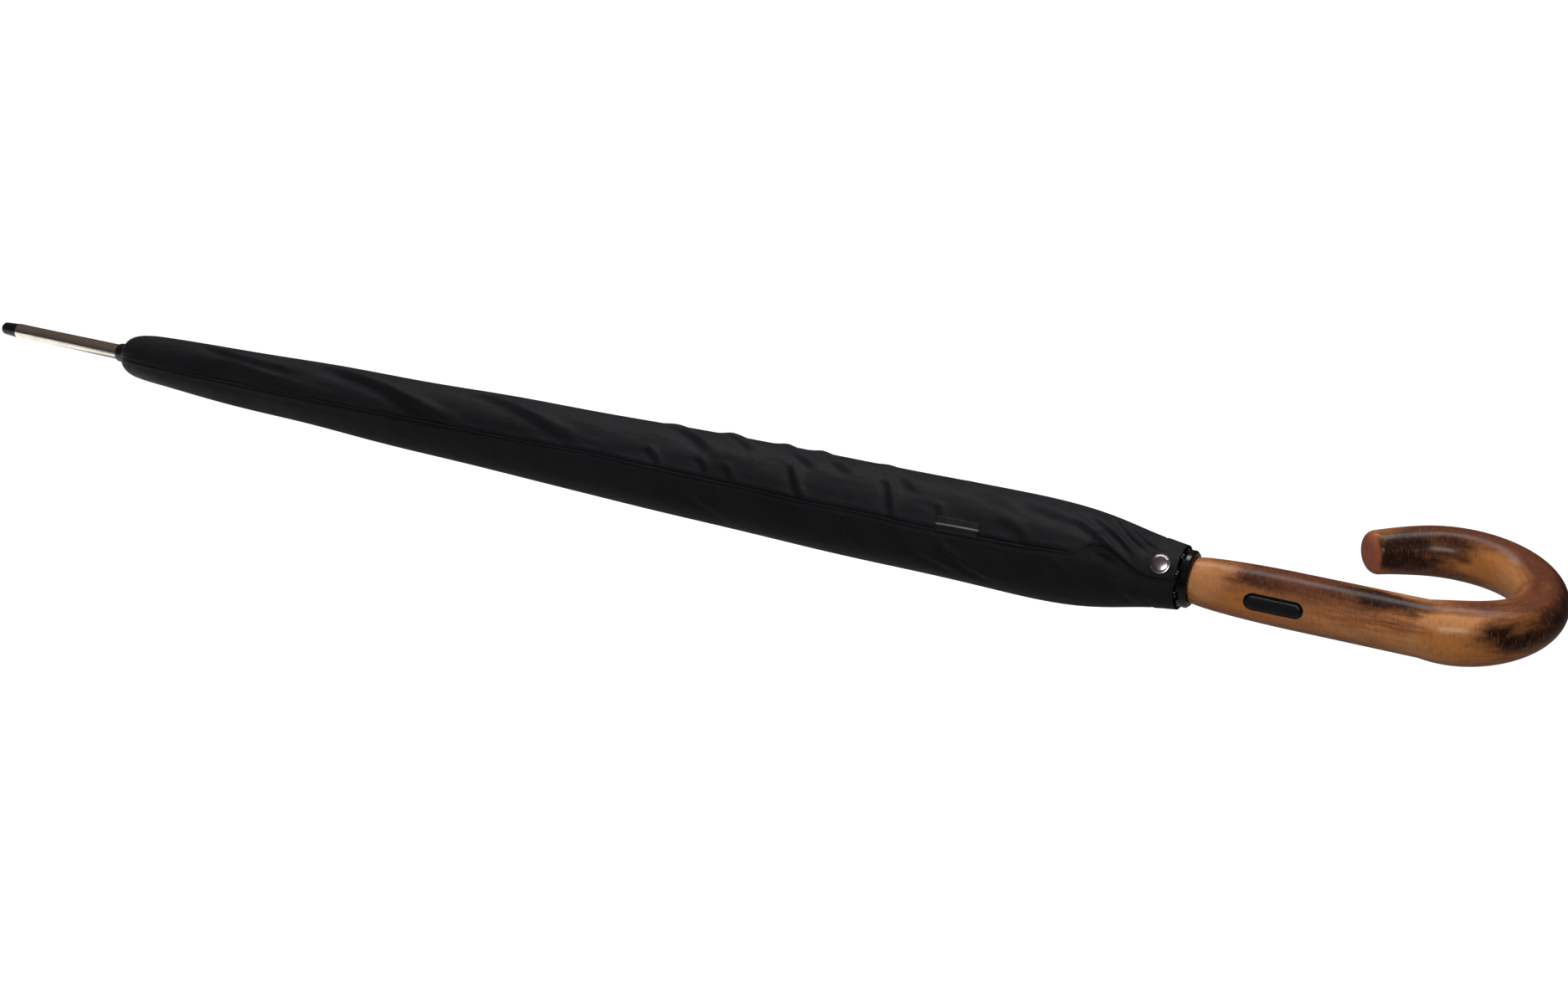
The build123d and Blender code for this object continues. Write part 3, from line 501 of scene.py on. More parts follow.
# ---------------------------------------------------------------- travel sleeve
SLEEVE_LOW, SLEEVE_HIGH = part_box("sleeve_fabric")
SLEEVE_XS, SLEEVE_RS = node_profile("sleeve_fabric")
SLEEVE_SKIN = 0.5 * MM
GIRTH = 21.0 * math.pi / 180  # mm round the sleeve for one degree of lift
FLAP_LOW, FLAP_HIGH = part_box("snap_flap")
SNAP_AT = sum(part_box("snap_cap"), Vector()) / 2
SNAP_LIFT = math.degrees(math.atan2(SNAP_AT.z, -SNAP_AT.y))
STRAIGHT_SEAM = 23.0  # lift of the seam along the wide half of the sleeve
SLIT_X = -52.0  # where the flap's free edge leaves the seam
HEM_DEPTH = 11.0  # mm from the mouth to the hem's stitches

# Folds read as: start (x mm, lift deg), end (x mm, lift deg), height mm, half width mm
FOLDS = (
    # long shallow folds that run down from the narrow end
    ((-585, 96), (-500, 60), 0.55, 3.6),
    ((-506, 96), (-375, 22), 1.05, 4.2),
    ((-405, 98), (-310, 42), 0.75, 3.8),
    ((-560, 60), (-455, 24), 0.35, 3.0),
    # ridges over the top where the cloth is pulled round
    ((-286, 108), (-240, 66), 0.95, 3.2),
    ((-254, 118), (-218, 78), 0.95, 3.0),
    ((-222, 116), (-184, 70), 0.85, 2.8),
    ((-203, 120), (-165, 70), 0.75, 2.8),
    ((-166, 112), (-128, 66), 0.6, 3.2),
    ((-120, 110), (-84, 70), 0.5, 3.6),
    ((-88, 96), (-52, 62), 0.55, 3.4),
    # short steep puckers that end on the seam
    ((-281, 56), (-268, 27), 0.6, 2.2),
    ((-250, 56), (-242, 29), 0.5, 2.0),
    ((-236, 50), (-225, 26), 0.45, 2.0),
    ((-203, 70), (-185, 22), 0.95, 2.4),
    ((-154, 82), (-137, 21), 0.95, 2.4),
    ((-123, 56), (-114, 30), 0.5, 2.0),
    ((-92, 56), (-70, 30), 0.5, 2.8),
    # below the seam
    ((-274, 20), (-230, -20), 0.3, 2.6),
    ((-173, 22), (-160, -16), 0.35, 2.2),
    ((-146, 19), (-102, -26), 0.4, 2.8),
    ((-127, 22), (-86, -28), 0.7, 2.4),
    ((-62, 24), (-52, -6), 0.4, 2.4),
    ((-36, 14), (-20, -34), 0.3, 2.6),
    # tension folds that run into the snap
    ((-46, 110), (-15, 52), 0.75, 1.9),
    ((-39, 112), (-12, 60), 0.55, 1.7),
    ((-54, 92), (-20, 42), 0.85, 2.1),
    ((-60, 74), (-30, 44), 0.7, 2.4),
)


def wrapped(lift):
    """Lift folded into -180 to 180 degrees."""
    return (np.asarray(lift, float) + 180.0) % 360.0 - 180.0


def seam_lift(x_mm):
    """Where the sewn seam runs: low at the narrow end, pulled about by the puckers, up into the flap."""
    narrow = -12.0 * smooth((-280.0 - x_mm) / 340.0)
    puckers = 1.8 * bump((x_mm + 312) / 22) - 1.7 * bump((x_mm + 190) / 22) - 2.0 * bump((x_mm + 130) / 18)
    return STRAIGHT_SEAM + narrow + puckers + 3.5 * smooth((x_mm + 88) / 34)


def fold(x_mm, lift, start, end, height, width):
    """One soft ridge with a hollow on its lower side, fading out at both ends."""
    p = (x_mm - start[0], wrapped(lift - start[1]) * GIRTH)
    d = (end[0] - start[0], (end[1] - start[1]) * GIRTH)
    length = math.hypot(*d)
    along = (p[0] * d[0] + p[1] * d[1]) / length**2
    off = (p[1] * d[0] - p[0] * d[1]) / length
    fade = smooth(along / 0.3) * smooth((1 - along) / 0.3)
    width = 0.82 * width
    off = off + 0.5 * width * np.sin(along * 5.0 + start[0])
    return 1.65 * height * fade * (bump(off / width) - 0.65 * bump((off + 1.7 * width) / (1.1 * width)))


def far_side_folds():
    """Seeded folds for the side away from the seam, in the same character."""
    made = []
    for _ in range(26):
        x, lift = random.uniform(-560, -90), random.uniform(170, 235)
        run, drop = random.uniform(24, 70), random.choice((-1, 1)) * random.uniform(16, 32)
        height, width = random.uniform(0.25, 0.85), random.uniform(2.4, 4.0)
        made.append(((x, lift), (x + run, lift + drop), height, width))
    return tuple(made)


ALL_FOLDS = FOLDS + far_side_folds()
SWELLS = [
    (random.uniform(60, 150), random.randint(1, 4), random.uniform(0, 6.3), random.uniform(0.05, 0.13))
    for _ in range(7)
]


def cloth_height(x_mm, lift):
    """How far the cloth stands off its smooth profile, in mm, before the seam and the hem."""
    height = sum(fold(x_mm, lift, *each) for each in ALL_FOLDS)
    for wave, turns, phase, size in SWELLS:
        height = height + size * np.sin(2 * math.pi * x_mm / wave + turns * np.radians(lift) + phase)
    return height


def sleeve_radius(x):
    """Smoothed outer radius of the sleeve's CAD profile."""
    x = np.asarray(x, float)
    near_end = np.maximum(np.minimum(x - SLEEVE_LOW.x, SLEEVE_HIGH.x - x), 0)
    reach = np.minimum(7 * MM, 0.6 * near_end)
    shares = np.linspace(-1, 1, 9)
    return np.mean([np.interp(x + share * reach, SLEEVE_XS, SLEEVE_RS) for share in shares], axis=0)


def flap_edge(x_mm):
    """Lift of the flap's free edge: up from the seam to a peak, then down past the snap to the mouth."""
    rise = 17.0 * smooth((x_mm - SLIT_X) / 10.0)
    fall = -28.0 * smooth((x_mm + 39.0) / 24.0)
    return 27.0 + rise + fall + 1.0 * smooth((x_mm + 14) / 8)


def sleeve_surface(x, lift):
    """Points of the sleeve's outer face for x in metres and lift in degrees."""
    x_mm = x / MM
    height = np.clip(cloth_height(x_mm, lift), -0.85, 1.9)
    ends = smooth((x_mm - SLEEVE_LOW.x / MM) / 14) * (0.35 + 0.65 * smooth((SLEEVE_HIGH.x / MM - x_mm) / 8))
    height = height * ends
    off = wrapped(lift - seam_lift(x_mm)) * GIRTH
    seam = 0.40 * bump((np.abs(off) - 2.3) / 1.3) - 0.95 * bump(off / 0.75)
    tuck = -0.5 * bump((off + 2.5) / 4.5) * smooth((-430 - x_mm) / 90)
    closed = 1 - smooth((x_mm - SLIT_X + 6) / 10)
    height = height + seam * closed * smooth((x_mm - SLEEVE_LOW.x / MM) / 10) + tuck
    # the cloth sinks under the flap's edge and stands up behind it
    edge_off = wrapped(lift - flap_edge(x_mm)) * GIRTH
    opened = smooth((x_mm - SLIT_X) / 14)
    height = height - opened * 2.0 * bump((edge_off + 2.0) / 3.6) * (1 - 0.8 * smooth((x_mm + 34) / 14))
    left_of_flap = 1 - smooth((x_mm - FLAP_LOW.x / MM - 1.0) / 2.5)
    stands_up = opened * left_of_flap * 1.5 * smooth(edge_off / 0.9)
    height = height + stands_up * (1 - smooth((edge_off - 2) / 12))
    hem_line = SLEEVE_HIGH.x / MM - HEM_DEPTH
    height = height + 0.25 * smooth((x_mm - hem_line) / 0.8) - 0.3 * bump((x_mm - hem_line) / 0.6)
    return on_shaft(x, sleeve_radius(x) + np.maximum(height, -0.9 - 1.2 * opened) * MM, lift)


def cloth_uv(x, lift):
    """Metres along and round the sleeve, for the weave."""
    return np.stack(np.broadcast_arrays(x, np.asarray(lift, float) * GIRTH * MM), -1)


def ride_sleeve(piece, body="sleeve"):
    """Ride on the sleeve or its flap, with a mesh of its own."""
    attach(piece, body)
    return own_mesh(piece)


def bake(piece):
    """Apply the modifiers to the piece's mesh."""
    bpy.context.view_layer.objects.active = piece
    for modifier in list(piece.modifiers):
        bpy.ops.object.modifier_apply(modifier=modifier.name)
    return piece


def sleeve_cloth():
    """The sewn tube of cloth, turned in at its narrow end and hemmed at its mouth."""
    low, high = SLEEVE_LOW.x, SLEEVE_HIGH.x
    xs = np.concatenate([
        np.arange(low, low + 0.028, 1.0 * MM),
        np.arange(low + 0.028, high - 0.062, 1.6 * MM),
        np.arange(high - 0.062, high, 0.7 * MM),
        [high],
    ])
    xs = np.unique(np.round(xs, 5))
    offsets = np.concatenate([np.arange(-10, 10, 0.7), np.arange(10, 60, 1.2), np.arange(60, 350, 2.2)])
    x, offset = np.meshgrid(xs, offsets, indexing="ij")
    guide = seam_lift(x / MM)
    reach = smooth((x / MM - SLIT_X) / 14)
    guide = guide + reach * (flap_edge(x / MM) - guide)
    lift = guide + offset
    outer = sleeve_surface(x, lift)
    # the narrow end rolls in to a small hole round the collar
    hole = float(np.interp(low, *node_profile("top_collar"))) + 0.35 * MM
    rolled, roll_rows = [], 4
    for turn in np.linspace(0, 1, roll_rows + 1)[:-1]:
        radius = hole + (sleeve_radius(low) - hole) * math.sin(turn * math.pi / 2)
        back = 0.9 * MM * (1 - math.cos(turn * math.pi / 2)) - 0.2 * MM
        rolled.append(on_shaft(low - 0.2 * MM + back * 0.2, radius, lift[0]))
    points = np.concatenate([np.array(rolled), outer])
    turns = np.concatenate([x[:roll_rows] * 0 + low, x])
    lifts = np.concatenate([np.repeat(lift[:1], roll_rows, axis=0), lift])
    faces = grid_faces(len(points), len(offsets), closed=True)
    piece = make_mesh("travel_sleeve", points, faces, cloth_uv(turns, lifts))
    bake(thicken(face_outwards(piece), SLEEVE_SKIN))
    piece.data.materials.append(SLEEVE_CLOTH)
    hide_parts("sleeve_fabric")
    return ride_sleeve(piece)


def seam_piping():
    """Thin corded edge that lies in the seam's groove, from the narrow end to the slit."""
    xs = np.arange(SLEEVE_LOW.x + 0.006, SLIT_X * MM, 1.2 * MM)
    lift = seam_lift(xs / MM)
    centre = on_shaft(xs, sleeve_radius(xs) - 0.22 * MM, lift)
    cord = sweep_tube("seam_piping", centre, np.full(len(xs), 0.42 * MM), sides=8)
    cord.data.materials.append(THREAD)
    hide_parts("sleeve_piping")
    return ride_sleeve(cord)


STITCH_FAT = 0.28 * MM  # greatest half width of a stitch
STITCH_SHARE = 0.62  # how much of the step from one stitch to the next is thread


def stitch_row(name, points):
    """Separate thread stitches laid end to end along a line of points."""
    rings, sides = 5, 6
    verts, faces = [], []
    for a, b in zip(points[:-1], points[1:]):
        a, b = np.asarray(a), np.asarray(b)
        along = (b - a) * STITCH_SHARE
        start = a + (b - a) * (1 - STITCH_SHARE) / 2
        unit = along / np.linalg.norm(along)
        outward = np.array([0.0, a[1], a[2]])
        outward /= np.linalg.norm(outward)
        side = np.cross(unit, outward)
        for r in range(rings):
            t = r / (rings - 1)
            fat = STITCH_FAT * math.sqrt(max(0.02, 1 - (2 * t - 1) ** 2 * 0.98))
            for s in range(sides):
                angle = 2 * math.pi * s / sides
                spoke = side * math.cos(angle) + 0.7 * outward * math.sin(angle)
                verts.append(start + along * t + fat * spoke)
        base = len(verts) - rings * sides
        faces += [tuple(base + v for v in quad) for quad in grid_faces(rings, sides, closed=True)]
        faces.append(tuple(base + v for v in range(sides - 1, -1, -1)))
        faces.append(tuple(base + (rings - 1) * sides + v for v in range(sides)))
    piece = face_outwards(make_mesh(name, verts, faces))
    piece.data.materials.append(THREAD)
    return piece


def hem_stitches():
    """The row that holds the sleeve's hem, below and beyond the flap."""
    x = SLEEVE_HIGH.x - HEM_DEPTH * MM
    edge = float(flap_edge(x / MM))
    lifts = np.arange(edge - 4, edge - 296, -6.2)
    row = stitch_row("sleeve_hem_stitches", sleeve_surface(np.full(len(lifts), x), lifts))
    return ride_sleeve(row)


FLAP_STANDS = 1.5 * MM  # how far the flap stands proud along its free edge
FLAP_TOP_LIFT = 66.0  # lift of the line that the flap folds along
SNAP_GIRTH = 16.0 / 57.3  # mm round the flap for one degree of lift, at the snap


def flap_surface(x, lift):
    """Outer face of the flap: the sleeve's own folds, standing proud towards its free edge."""
    x_mm = x / MM
    base = sleeve_surface(x, lift)
    down = np.maximum(wrapped(lift - flap_edge(x_mm)), 0) * GIRTH
    width = (FLAP_TOP_LIFT - flap_edge(x_mm)) * GIRTH
    near_hinge = smooth((width - down) / 9.0)
    near_left = smooth((x_mm - FLAP_LOW.x / MM) / (4.0 + 12.0 * np.clip(down / width, 0, 1)))
    raised = sleeve_radius(x) + cloth_height(x_mm, lift) * MM
    snap = np.hypot(x_mm - SNAP_AT.x / MM, wrapped(lift - SNAP_LIFT) * SNAP_GIRTH)
    dimple = 0.75 * bump(snap / 6.0)
    roll = -0.8 * bump(down / 0.7)
    stand = (FLAP_STANDS / MM) * (0.12 + 0.88 * near_hinge * near_left) + (roll - dimple) * near_hinge
    hem_line = SLEEVE_HIGH.x / MM - HEM_DEPTH
    stand = stand - 0.22 * bump((x_mm - hem_line) / 0.6)
    clear = np.hypot(base[..., 1], base[..., 2]) + 0.12 * MM
    return on_shaft(x, np.maximum(raised, clear) + stand * MM, lift)


def snap_flap():
    """The corner of the upper panel that laps over the lower one and snaps down."""
    xs = np.arange(FLAP_LOW.x, FLAP_HIGH.x + 0.6 * MM, 0.6 * MM)
    share = np.linspace(0, 1, 54)
    x, s = np.meshgrid(xs, share, indexing="ij")
    edge = flap_edge(x / MM)
    lift = edge + (FLAP_TOP_LIFT - edge) * s
    piece = make_mesh("snap_flap_cloth", flap_surface(x, lift), grid_faces(*x.shape), cloth_uv(x, lift))
    bake(thicken(piece, 0.4 * MM, offset=1.0 if outward_is_negative(piece) else -1.0))
    piece.data.materials.append(SLEEVE_CLOTH)
    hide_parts("snap_flap")
    return ride_sleeve(piece, "snap_flap")


def outward_is_negative(piece):
    """True when a sheet's faces point at the shaft instead of away from it."""
    facing = 0.0
    for polygon in piece.data.polygons:
        facing += polygon.normal.y * polygon.center.y + polygon.normal.z * polygon.center.z
    return facing < 0


def flap_stitches():
    """The same hem row, carried on across the flap."""
    x = SLEEVE_HIGH.x - HEM_DEPTH * MM
    edge = float(flap_edge(x / MM))
    lifts = np.arange(edge + 3, FLAP_TOP_LIFT - 1, 6.2)
    away = [lift for lift in lifts if abs(lift - SNAP_LIFT) > 12]
    row = stitch_row("flap_hem_stitches", flap_surface(np.full(len(away), x), np.array(away)))
    return ride_sleeve(row, "snap_flap")


def side_label():
    """Short loop of woven ribbon caught in the seam; its face has one plain stripe."""
    low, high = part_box("sleeve_label")
    xs = np.linspace(low.x, high.x, 26)
    height = 6.4  # mm from the seam to the label's fold
    outer = [(h, 0.95) for h in np.linspace(-0.8, height - 0.4, 12)]
    turn = [(height - 0.4 + 0.42 * math.sin(a), 0.55 + 0.4 * math.cos(a)) for a in np.linspace(0.4, 2.8, 5)]
    inner = [(h, 0.15) for h in np.linspace(height - 0.4, -0.8, 8)]
    loop = np.array(outer + turn + inner)
    x, k = np.meshgrid(xs, np.arange(len(loop)), indexing="ij")
    up, off = loop[k, 0], loop[k, 1]
    ends = np.abs(2 * (x - low.x) / (high.x - low.x) - 1)
    off = off + (0.35 * np.sin((x - low.x) * 300) + 0.5 * ends**4) * smooth(up / height)
    lift = seam_lift(x / MM) + up / GIRTH * 0.88
    surface = sleeve_surface(x, lift)
    radius = np.hypot(surface[..., 1], surface[..., 2])
    radius = np.maximum(radius, sleeve_radius(x) - 0.1 * MM) + off * MM
    uv = np.stack([x - low.x, up * MM], -1)
    piece = make_mesh("side_label", on_shaft(x, radius, lift), grid_faces(*x.shape), uv)
    bake(thicken(piece, 0.22 * MM, offset=0.0))
    piece.data.materials.append(LABEL)
    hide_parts("sleeve_label")
    return ride_sleeve(piece)


def snap_direction():
    """The snap's own axis, out from the shaft."""
    return Vector((0, -math.cos(math.radians(SNAP_LIFT)), math.sin(math.radians(SNAP_LIFT))))


def snap_span(node):
    """(lowest, highest) distance of a snap part from the shaft axis along the snap's own axis."""
    axis = snap_direction()
    reach = [v.co.dot(axis) for v in frame["nodes"][node].data.vertices]
    return min(reach), max(reach)


def snap_parts():
    """Domed cap and socket on the flap, ball stud on the sleeve."""
    axis = snap_direction()
    origin = Vector((SNAP_AT.x, 0, 0))
    low, high = snap_span("snap_cap")
    rise = high - low
    cap_r = 4.65 * MM
    arc = 1.5  # radians of the dome, from its middle to its edge
    dome = [(cap_r * 0.86 * math.sin(a), high - 0.42 * rise * (1 - math.cos(a)) / (1 - math.cos(arc)))
            for a in np.linspace(0, arc, 16)]
    rim = [(cap_r * 0.90, high - 0.50 * rise), (cap_r * 0.95, high - 0.46 * rise),
           (cap_r, high - 0.58 * rise), (cap_r * 0.99, high - 0.80 * rise),
           (cap_r * 0.93, low), (0.0, low)]
    cap = lathe("snap_cap_shell", dome + rim, origin, axis, 72)
    low, high = snap_span("snap_socket")
    ring = [(1.9 * MM, low), (3.6 * MM, low), (4.0 * MM, low + 0.3 * MM), (4.0 * MM, high - 0.2 * MM),
            (3.8 * MM, high), (1.9 * MM, high), (1.75 * MM, high - 0.4 * MM), (1.9 * MM, low)]
    socket = lathe("snap_socket_ring", ring, origin, axis, 56)
    low, high = snap_span("snap_stud")
    ball = [(0.0, low), (3.9 * MM, low), (4.0 * MM, low + 0.2 * MM), (3.8 * MM, low + 0.45 * MM),
            (1.5 * MM, low + 0.6 * MM), (1.2 * MM, low + 0.9 * MM), (1.55 * MM, high - 0.5 * MM),
            (1.2 * MM, high - 0.1 * MM), (0.0, high)]
    stud = lathe("snap_ball_stud", ball, origin, axis, 56)
    parts = ((cap, "snap_cap", "snap_flap"),
             (socket, "snap_socket", "snap_flap"),
             (stud, "snap_stud", "sleeve"))
    for piece, node, body in parts:
        piece.data.materials.append(PEWTER)
        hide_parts(node)
        ride_sleeve(piece, body)


# ---------------------------------------------------------------- canopy
GORE_XS, GORE_RS = node_profile("canopy_gore_1")
GORE_LOW, GORE_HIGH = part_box("canopy_gore_1")
FAN = 7.4 * MM  # width of the folded strip that fans out as a gore unfolds
HEM_RISE = 34 * MM  # how far the hem is cut up between two rib tips
SEAM_LAP = 2.5 * MM  # how far a panel's far edge laps over the next one
CROWN_AT = sum(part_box("crown"), Vector()).x / 2
PANEL_START = CROWN_AT + 1.9 * MM  # clear of the crown's rim when the canopy is open
CAP_SKIRT = (CROWN_AT - 1.9 * MM, 12.1 * MM)  # x and radius of the cap's edge over the crown


def rib_azimuth(number):
    """Angle of a rib about X, from +Y towards +Z, in radians."""
    low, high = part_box(f"rib_{number}")
    middle = (low + high) / 2
    return math.atan2(middle.z, middle.y)


def canopy_gore(number):
    """One sewn panel, folded flat against its far rib, lying between two ribs."""
    near, far = rib_azimuth(number), rib_azimuth(number % RIBS + 1)
    span = (far - near) % (2 * math.pi)
    share = np.linspace(0, 1, 23)
    # the fan's columns: an inverse smooth step, so that the open panel is evenly divided
    t = 0.5 - np.sin(np.arcsin(1 - 2 * share) / 3)
    rows = np.linspace(0, 1, 110)
    r_grid, t_grid = np.meshgrid(rows, t, indexing="ij")
    _, s_grid = np.meshgrid(rows, share, indexing="ij")
    hem = GORE_HIGH.x + 1.0 * MM - HEM_RISE * np.sin(math.pi * s_grid) ** 0.8
    x = PANEL_START + (hem - PANEL_START) * r_grid
    radius = np.interp(x, GORE_XS, GORE_RS) - 0.5 * MM
    behind = np.arcsin(np.clip(FAN * (1 - t_grid) / radius, -1, 1))
    # a strip from the near rib leads to the fan
    strip = np.linspace(0, 1, 6)[:-1]
    lead_x = np.repeat(x[:, :1], len(strip), axis=1)
    lead_r = np.repeat(radius[:, :1], len(strip), axis=1)
    lead_angle = span - (span - behind[:, :1]) * strip[None, :]
    # and the seam laps a little past the far rib
    lap_angle = -SEAM_LAP / radius[:, -1:] * np.array([[0.4, 1.0]])
    x = np.concatenate([lead_x, x, x[:, -1:], x[:, -1:]], axis=1)
    radius = np.concatenate([lead_r, radius, radius[:, -1:], radius[:, -1:]], axis=1)
    angle_back = np.concatenate([lead_angle, behind, lap_angle], axis=1)
    part = 1 - angle_back / span
    leaf = 0.75 * MM * smooth(part) - 0.25 * MM
    crease = 0.22 * MM * np.sin(part * 19 + x * 26 + number) * smooth((x - GORE_LOW.x) / 0.12)
    ripple = 0.16 * MM * np.sin(x * 74 + number * 2.1) * np.sin(part * 7)
    radius = radius + (leaf + crease + ripple) * smooth((x - GORE_LOW.x) / 0.05)
    angle = far - angle_back
    points = np.stack([x, radius * np.cos(angle), radius * np.sin(angle)], -1)
    across = np.concatenate([strip * 0.02, 0.02 + share * 0.3, [0.321, 0.323]])
    uv = np.stack([x, np.broadcast_to(across, x.shape)], -1)
    piece = make_mesh(f"canopy_panel_{number}", points, grid_faces(*x.shape), uv)
    bake(thicken(piece, 0.22 * MM, offset=0.0))
    piece.data.materials.append(CANOPY_CLOTH)
    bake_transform(piece)
    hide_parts(f"canopy_gore_{number}")
    return piece


def canopy_cap():
    """Small cone of cloth under the collar; its gathered skirt and turned edge cover the crown."""
    low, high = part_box("canopy_cap")
    xs, rs = node_profile("canopy_cap")
    xs, rs = np.append(xs, CAP_SKIRT[0]), np.append(rs, CAP_SKIRT[1])
    lifts = np.linspace(0, 360, 97)[:-1]
    rows = np.linspace(low.x, CAP_SKIRT[0], 28)
    x, lift = np.meshgrid(rows, lifts, indexing="ij")
    gathers = 0.16 * np.sin(np.radians(lift) * 16) * smooth((x - low.x) / (high.x - low.x) * 1.3)
    edge = 0.22 * bump((x - CAP_SKIRT[0] + 1.2 * MM) / (0.7 * MM))
    piece = make_mesh("canopy_cap_cloth", on_shaft(x, np.interp(x, xs, rs) + (gathers + edge) * MM, lift),
                      grid_faces(*x.shape, closed=True), cloth_uv(x, lift))
    bake(thicken(face_outwards(piece), 0.4 * MM))
    piece.data.materials.append(CANOPY_CLOTH)
    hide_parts("canopy_cap")
    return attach(piece, "frame")


def tie_strap():
    """Narrow band round the rolled canopy: two layers, hemmed edges, and an overlapping end with its pad."""
    low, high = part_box("tie_strap")
    base = high.z - 0.5 * MM
    across = np.linspace(low.x, high.x, 17)
    turn = np.linspace(0, 1, 150)
    x, s = np.meshgrid(across, turn, indexing="ij")
    middle = (low.x + high.x) / 2
    half = (high.x - low.x) / 2
    hem = 0.14 * bump((np.abs(x - middle) - half + 1.4 * MM) / (0.8 * MM))
    taper = 1 - 0.45 * smooth((s - 0.95) / 0.05)
    x = middle + (x - middle) * taper
    lift = 30 + s * 405
    radius = base + (0.12 * np.sin(s * 40) + hem + 0.55 * smooth((s - 0.86) / 0.06)) * MM
    piece = make_mesh("tie_strap_band", on_shaft(x, radius, lift), grid_faces(*x.shape), cloth_uv(x, lift))
    bake(thicken(piece, 0.35 * MM, offset=0.0))
    piece.data.materials.append(CANOPY_CLOTH)
    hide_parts("tie_strap")
    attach(piece, "rib_2")
    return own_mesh(piece)


# ---------------------------------------------------------------- return spring
def return_spring():
    """Small coil under the release lever."""
    low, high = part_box("lever_spring")
    middle = (low + high) / 2
    outward = Vector((0, middle.y, middle.z)).normalized()
    across = outward.cross(Vector((1, 0, 0)))
    reach = [v.co.dot(outward) for v in frame["nodes"]["lever_spring"].data.vertices]
    wire, turns = 0.2 * MM, 2.75
    radius = (high.x - low.x) / 2 - wire
    foot, rise = min(reach) + wire, max(reach) - min(reach) - 2 * wire
    path = []
    for share in np.linspace(0, 1, 72):
        turn = share * 2 * math.pi * turns
        ring = Vector((middle.x + radius * math.cos(turn), 0, 0)) + across * radius * math.sin(turn)
        path.append(ring + outward * (foot + rise * share))
    piece = sweep_tube("lever_return_spring", path, wire, sides=8)
    piece.data.materials.append(SPRING_STEEL)
    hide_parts("lever_spring")
    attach(piece, "frame")
    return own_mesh(piece)


# ---------------------------------------------------------------- studio
CAMERA_AT = Vector((0.23991, -0.87738, 0.44149))
CAMERA_TURN, CAMERA_TILT, CAMERA_ROLL = (math.radians(a) for a in (27.148, 24.12, -0.136))
FLOOR_Z = -0.62  # clear of the open canopy


def camera():
    """50 mm camera at the viewing angle, looking down the umbrella from the crook's end."""
    level = math.cos(CAMERA_TILT)
    forward = Vector((-math.sin(CAMERA_TURN) * level, math.cos(CAMERA_TURN) * level, -math.sin(CAMERA_TILT)))
    right = Vector((math.cos(CAMERA_TURN), math.sin(CAMERA_TURN), 0))
    down = forward.cross(right)
    right = right * math.cos(CAMERA_ROLL) + down * math.sin(CAMERA_ROLL)
    down = forward.cross(right)
    data = bpy.data.cameras.new("camera")
    data.lens, data.sensor_width, data.clip_end = 50.0, 36.0, 100.0
    made = bpy.data.objects.new("camera", data)
    turn = Matrix((right, -down, -forward)).transposed()
    made.matrix_world = Matrix.Translation(CAMERA_AT) @ turn.to_4x4()
    bpy.context.scene.collection.objects.link(made)
    bpy.context.scene.camera = made


def soft_light(name, place, target, size, power):
    """Rectangular area light aimed at a point."""
    data = bpy.data.lights.new(name, "AREA")
    data.shape, data.size, data.size_y, data.energy = "RECTANGLE", size[0], size[1], power
    made = bpy.data.objects.new(name, data)
    made.location = place
    made.rotation_euler = (Vector(target) - Vector(place)).to_track_quat("-Z", "Y").to_euler()
    bpy.context.scene.collection.objects.link(made)


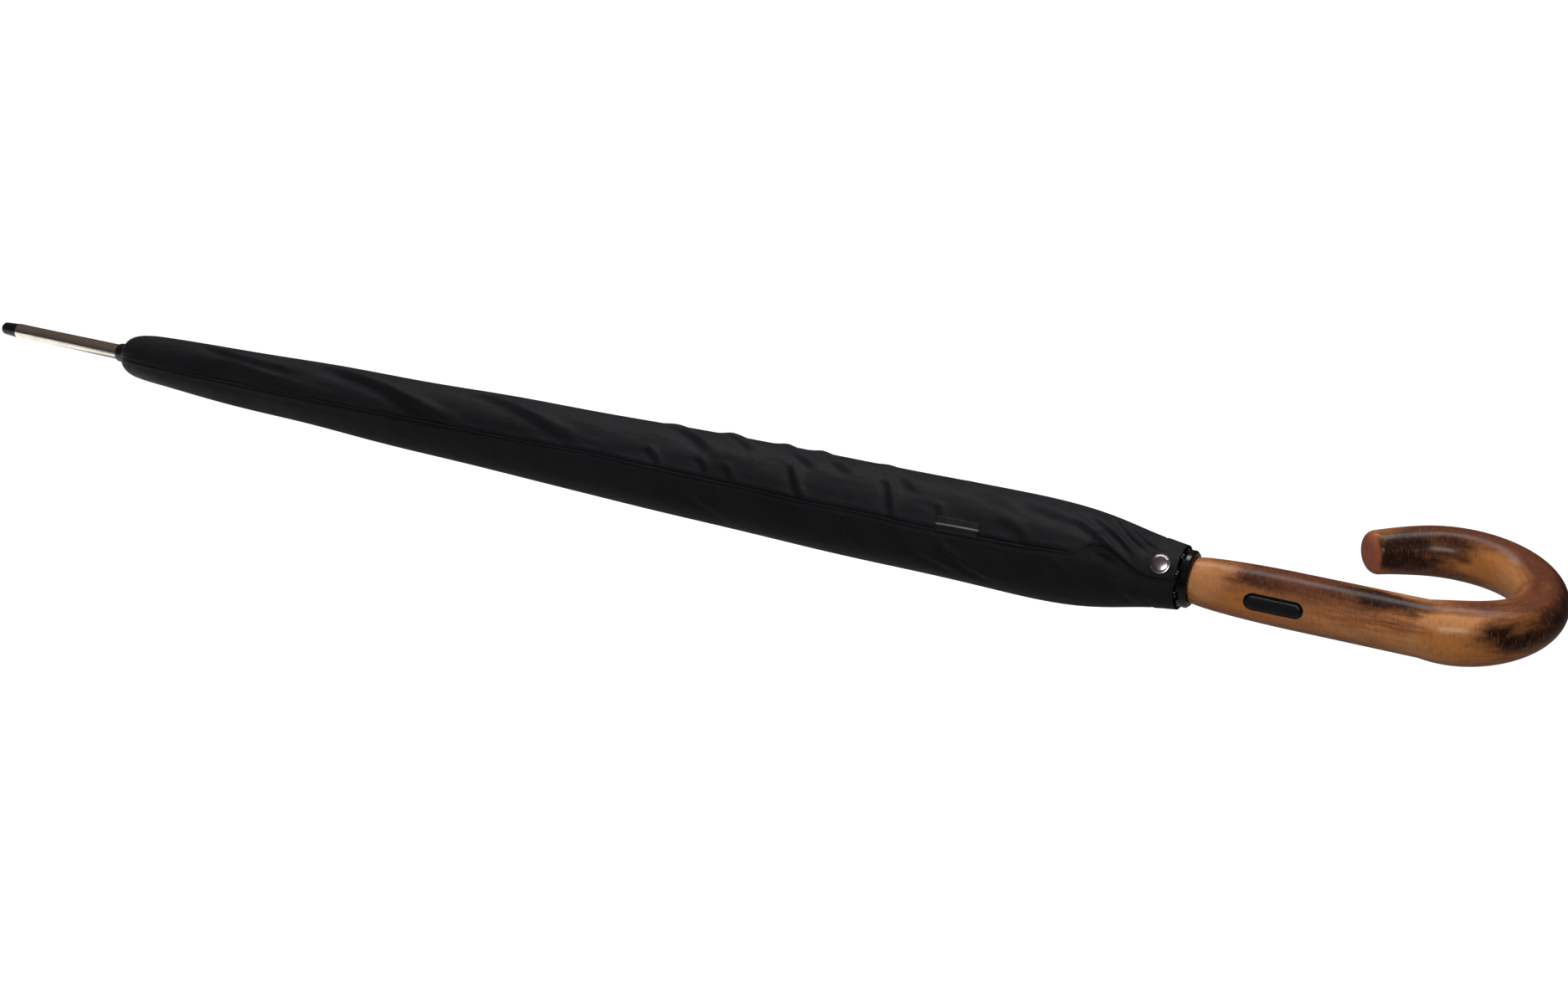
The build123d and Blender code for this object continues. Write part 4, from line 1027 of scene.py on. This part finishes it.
def world():
    """White to the camera; to everything else a dim room that brightens overhead."""
    made = bpy.data.worlds.new("studio")
    bpy.context.scene.world = made
    made.use_nodes = True
    nodes, links = made.node_tree.nodes, made.node_tree.links
    back = nodes["Background"]
    path = nodes.new("ShaderNodeLightPath")
    height = nodes.new("ShaderNodeSeparateXYZ")
    coordinates = nodes.new("ShaderNodeTexCoord")
    room = nodes.new("ShaderNodeValToRGB")
    links.new(coordinates.outputs["Generated"], height.inputs[0])
    links.new(height.outputs["Z"], room.inputs["Fac"])
    stops = ((0.0, (0.035, 0.033, 0.032, 1)), (0.95, (0.13, 0.105, 0.09, 1)))
    for element, (place, colour) in zip(room.color_ramp.elements, stops):
        element.position = place
        element.color = colour
    mix = nodes.new("ShaderNodeMix")
    mix.data_type = "RGBA"
    colours = [socket for socket in mix.inputs if socket.type == "RGBA"]
    links.new(path.outputs["Is Camera Ray"], mix.inputs[0])
    links.new(room.outputs["Color"], colours[0])
    colours[1].default_value = (1, 1, 1, 1)
    links.new(next(socket for socket in mix.outputs if socket.type == "RGBA"), back.inputs["Color"])


def floor():
    """Plain pale floor, far enough below to leave no hard shadow."""
    s = Shader("pale_floor", (0.35, 0.35, 0.35), 0.8)
    seen = s.node("LightPath").outputs["Is Camera Ray"]
    s.set(Emission_Color=(1, 1, 1, 1), Emission_Strength=seen)
    half = 20.0
    corners = [(x * half, y * half, FLOOR_Z) for x, y in ((-1, -1), (1, -1), (1, 1), (-1, 1))]
    plane = make_mesh("floor", corners, [(0, 1, 2, 3)])
    plane.data.materials.append(s.material)


def studio():
    """Two soft boxes, a card beyond and below the ferrule, the camera, the world and the floor."""
    middle = (-0.28, 0.0, 0.0)
    soft_light("top_box", (-0.25, 0.55, 1.15), middle, (2.0, 0.45), 21)
    soft_light("front_box", (0.45, -1.5, 1.15), middle, (1.0, 0.5), 24)
    soft_light("end_card", (-1.05, 0.0, -0.215), (0, 0, -0.215), (0.80, 0.37), 1.0)
    camera()
    world()
    floor()
    bpy.context.scene.view_settings.view_transform = "Standard"


dress_cad_nodes()
sleeve_cloth()
seam_piping()
hem_stitches()
snap_flap()
flap_stitches()
side_label()
snap_parts()
for gore in range(1, RIBS + 1):
    canopy_gore(gore)
canopy_cap()
tie_strap()
return_spring()
studio()
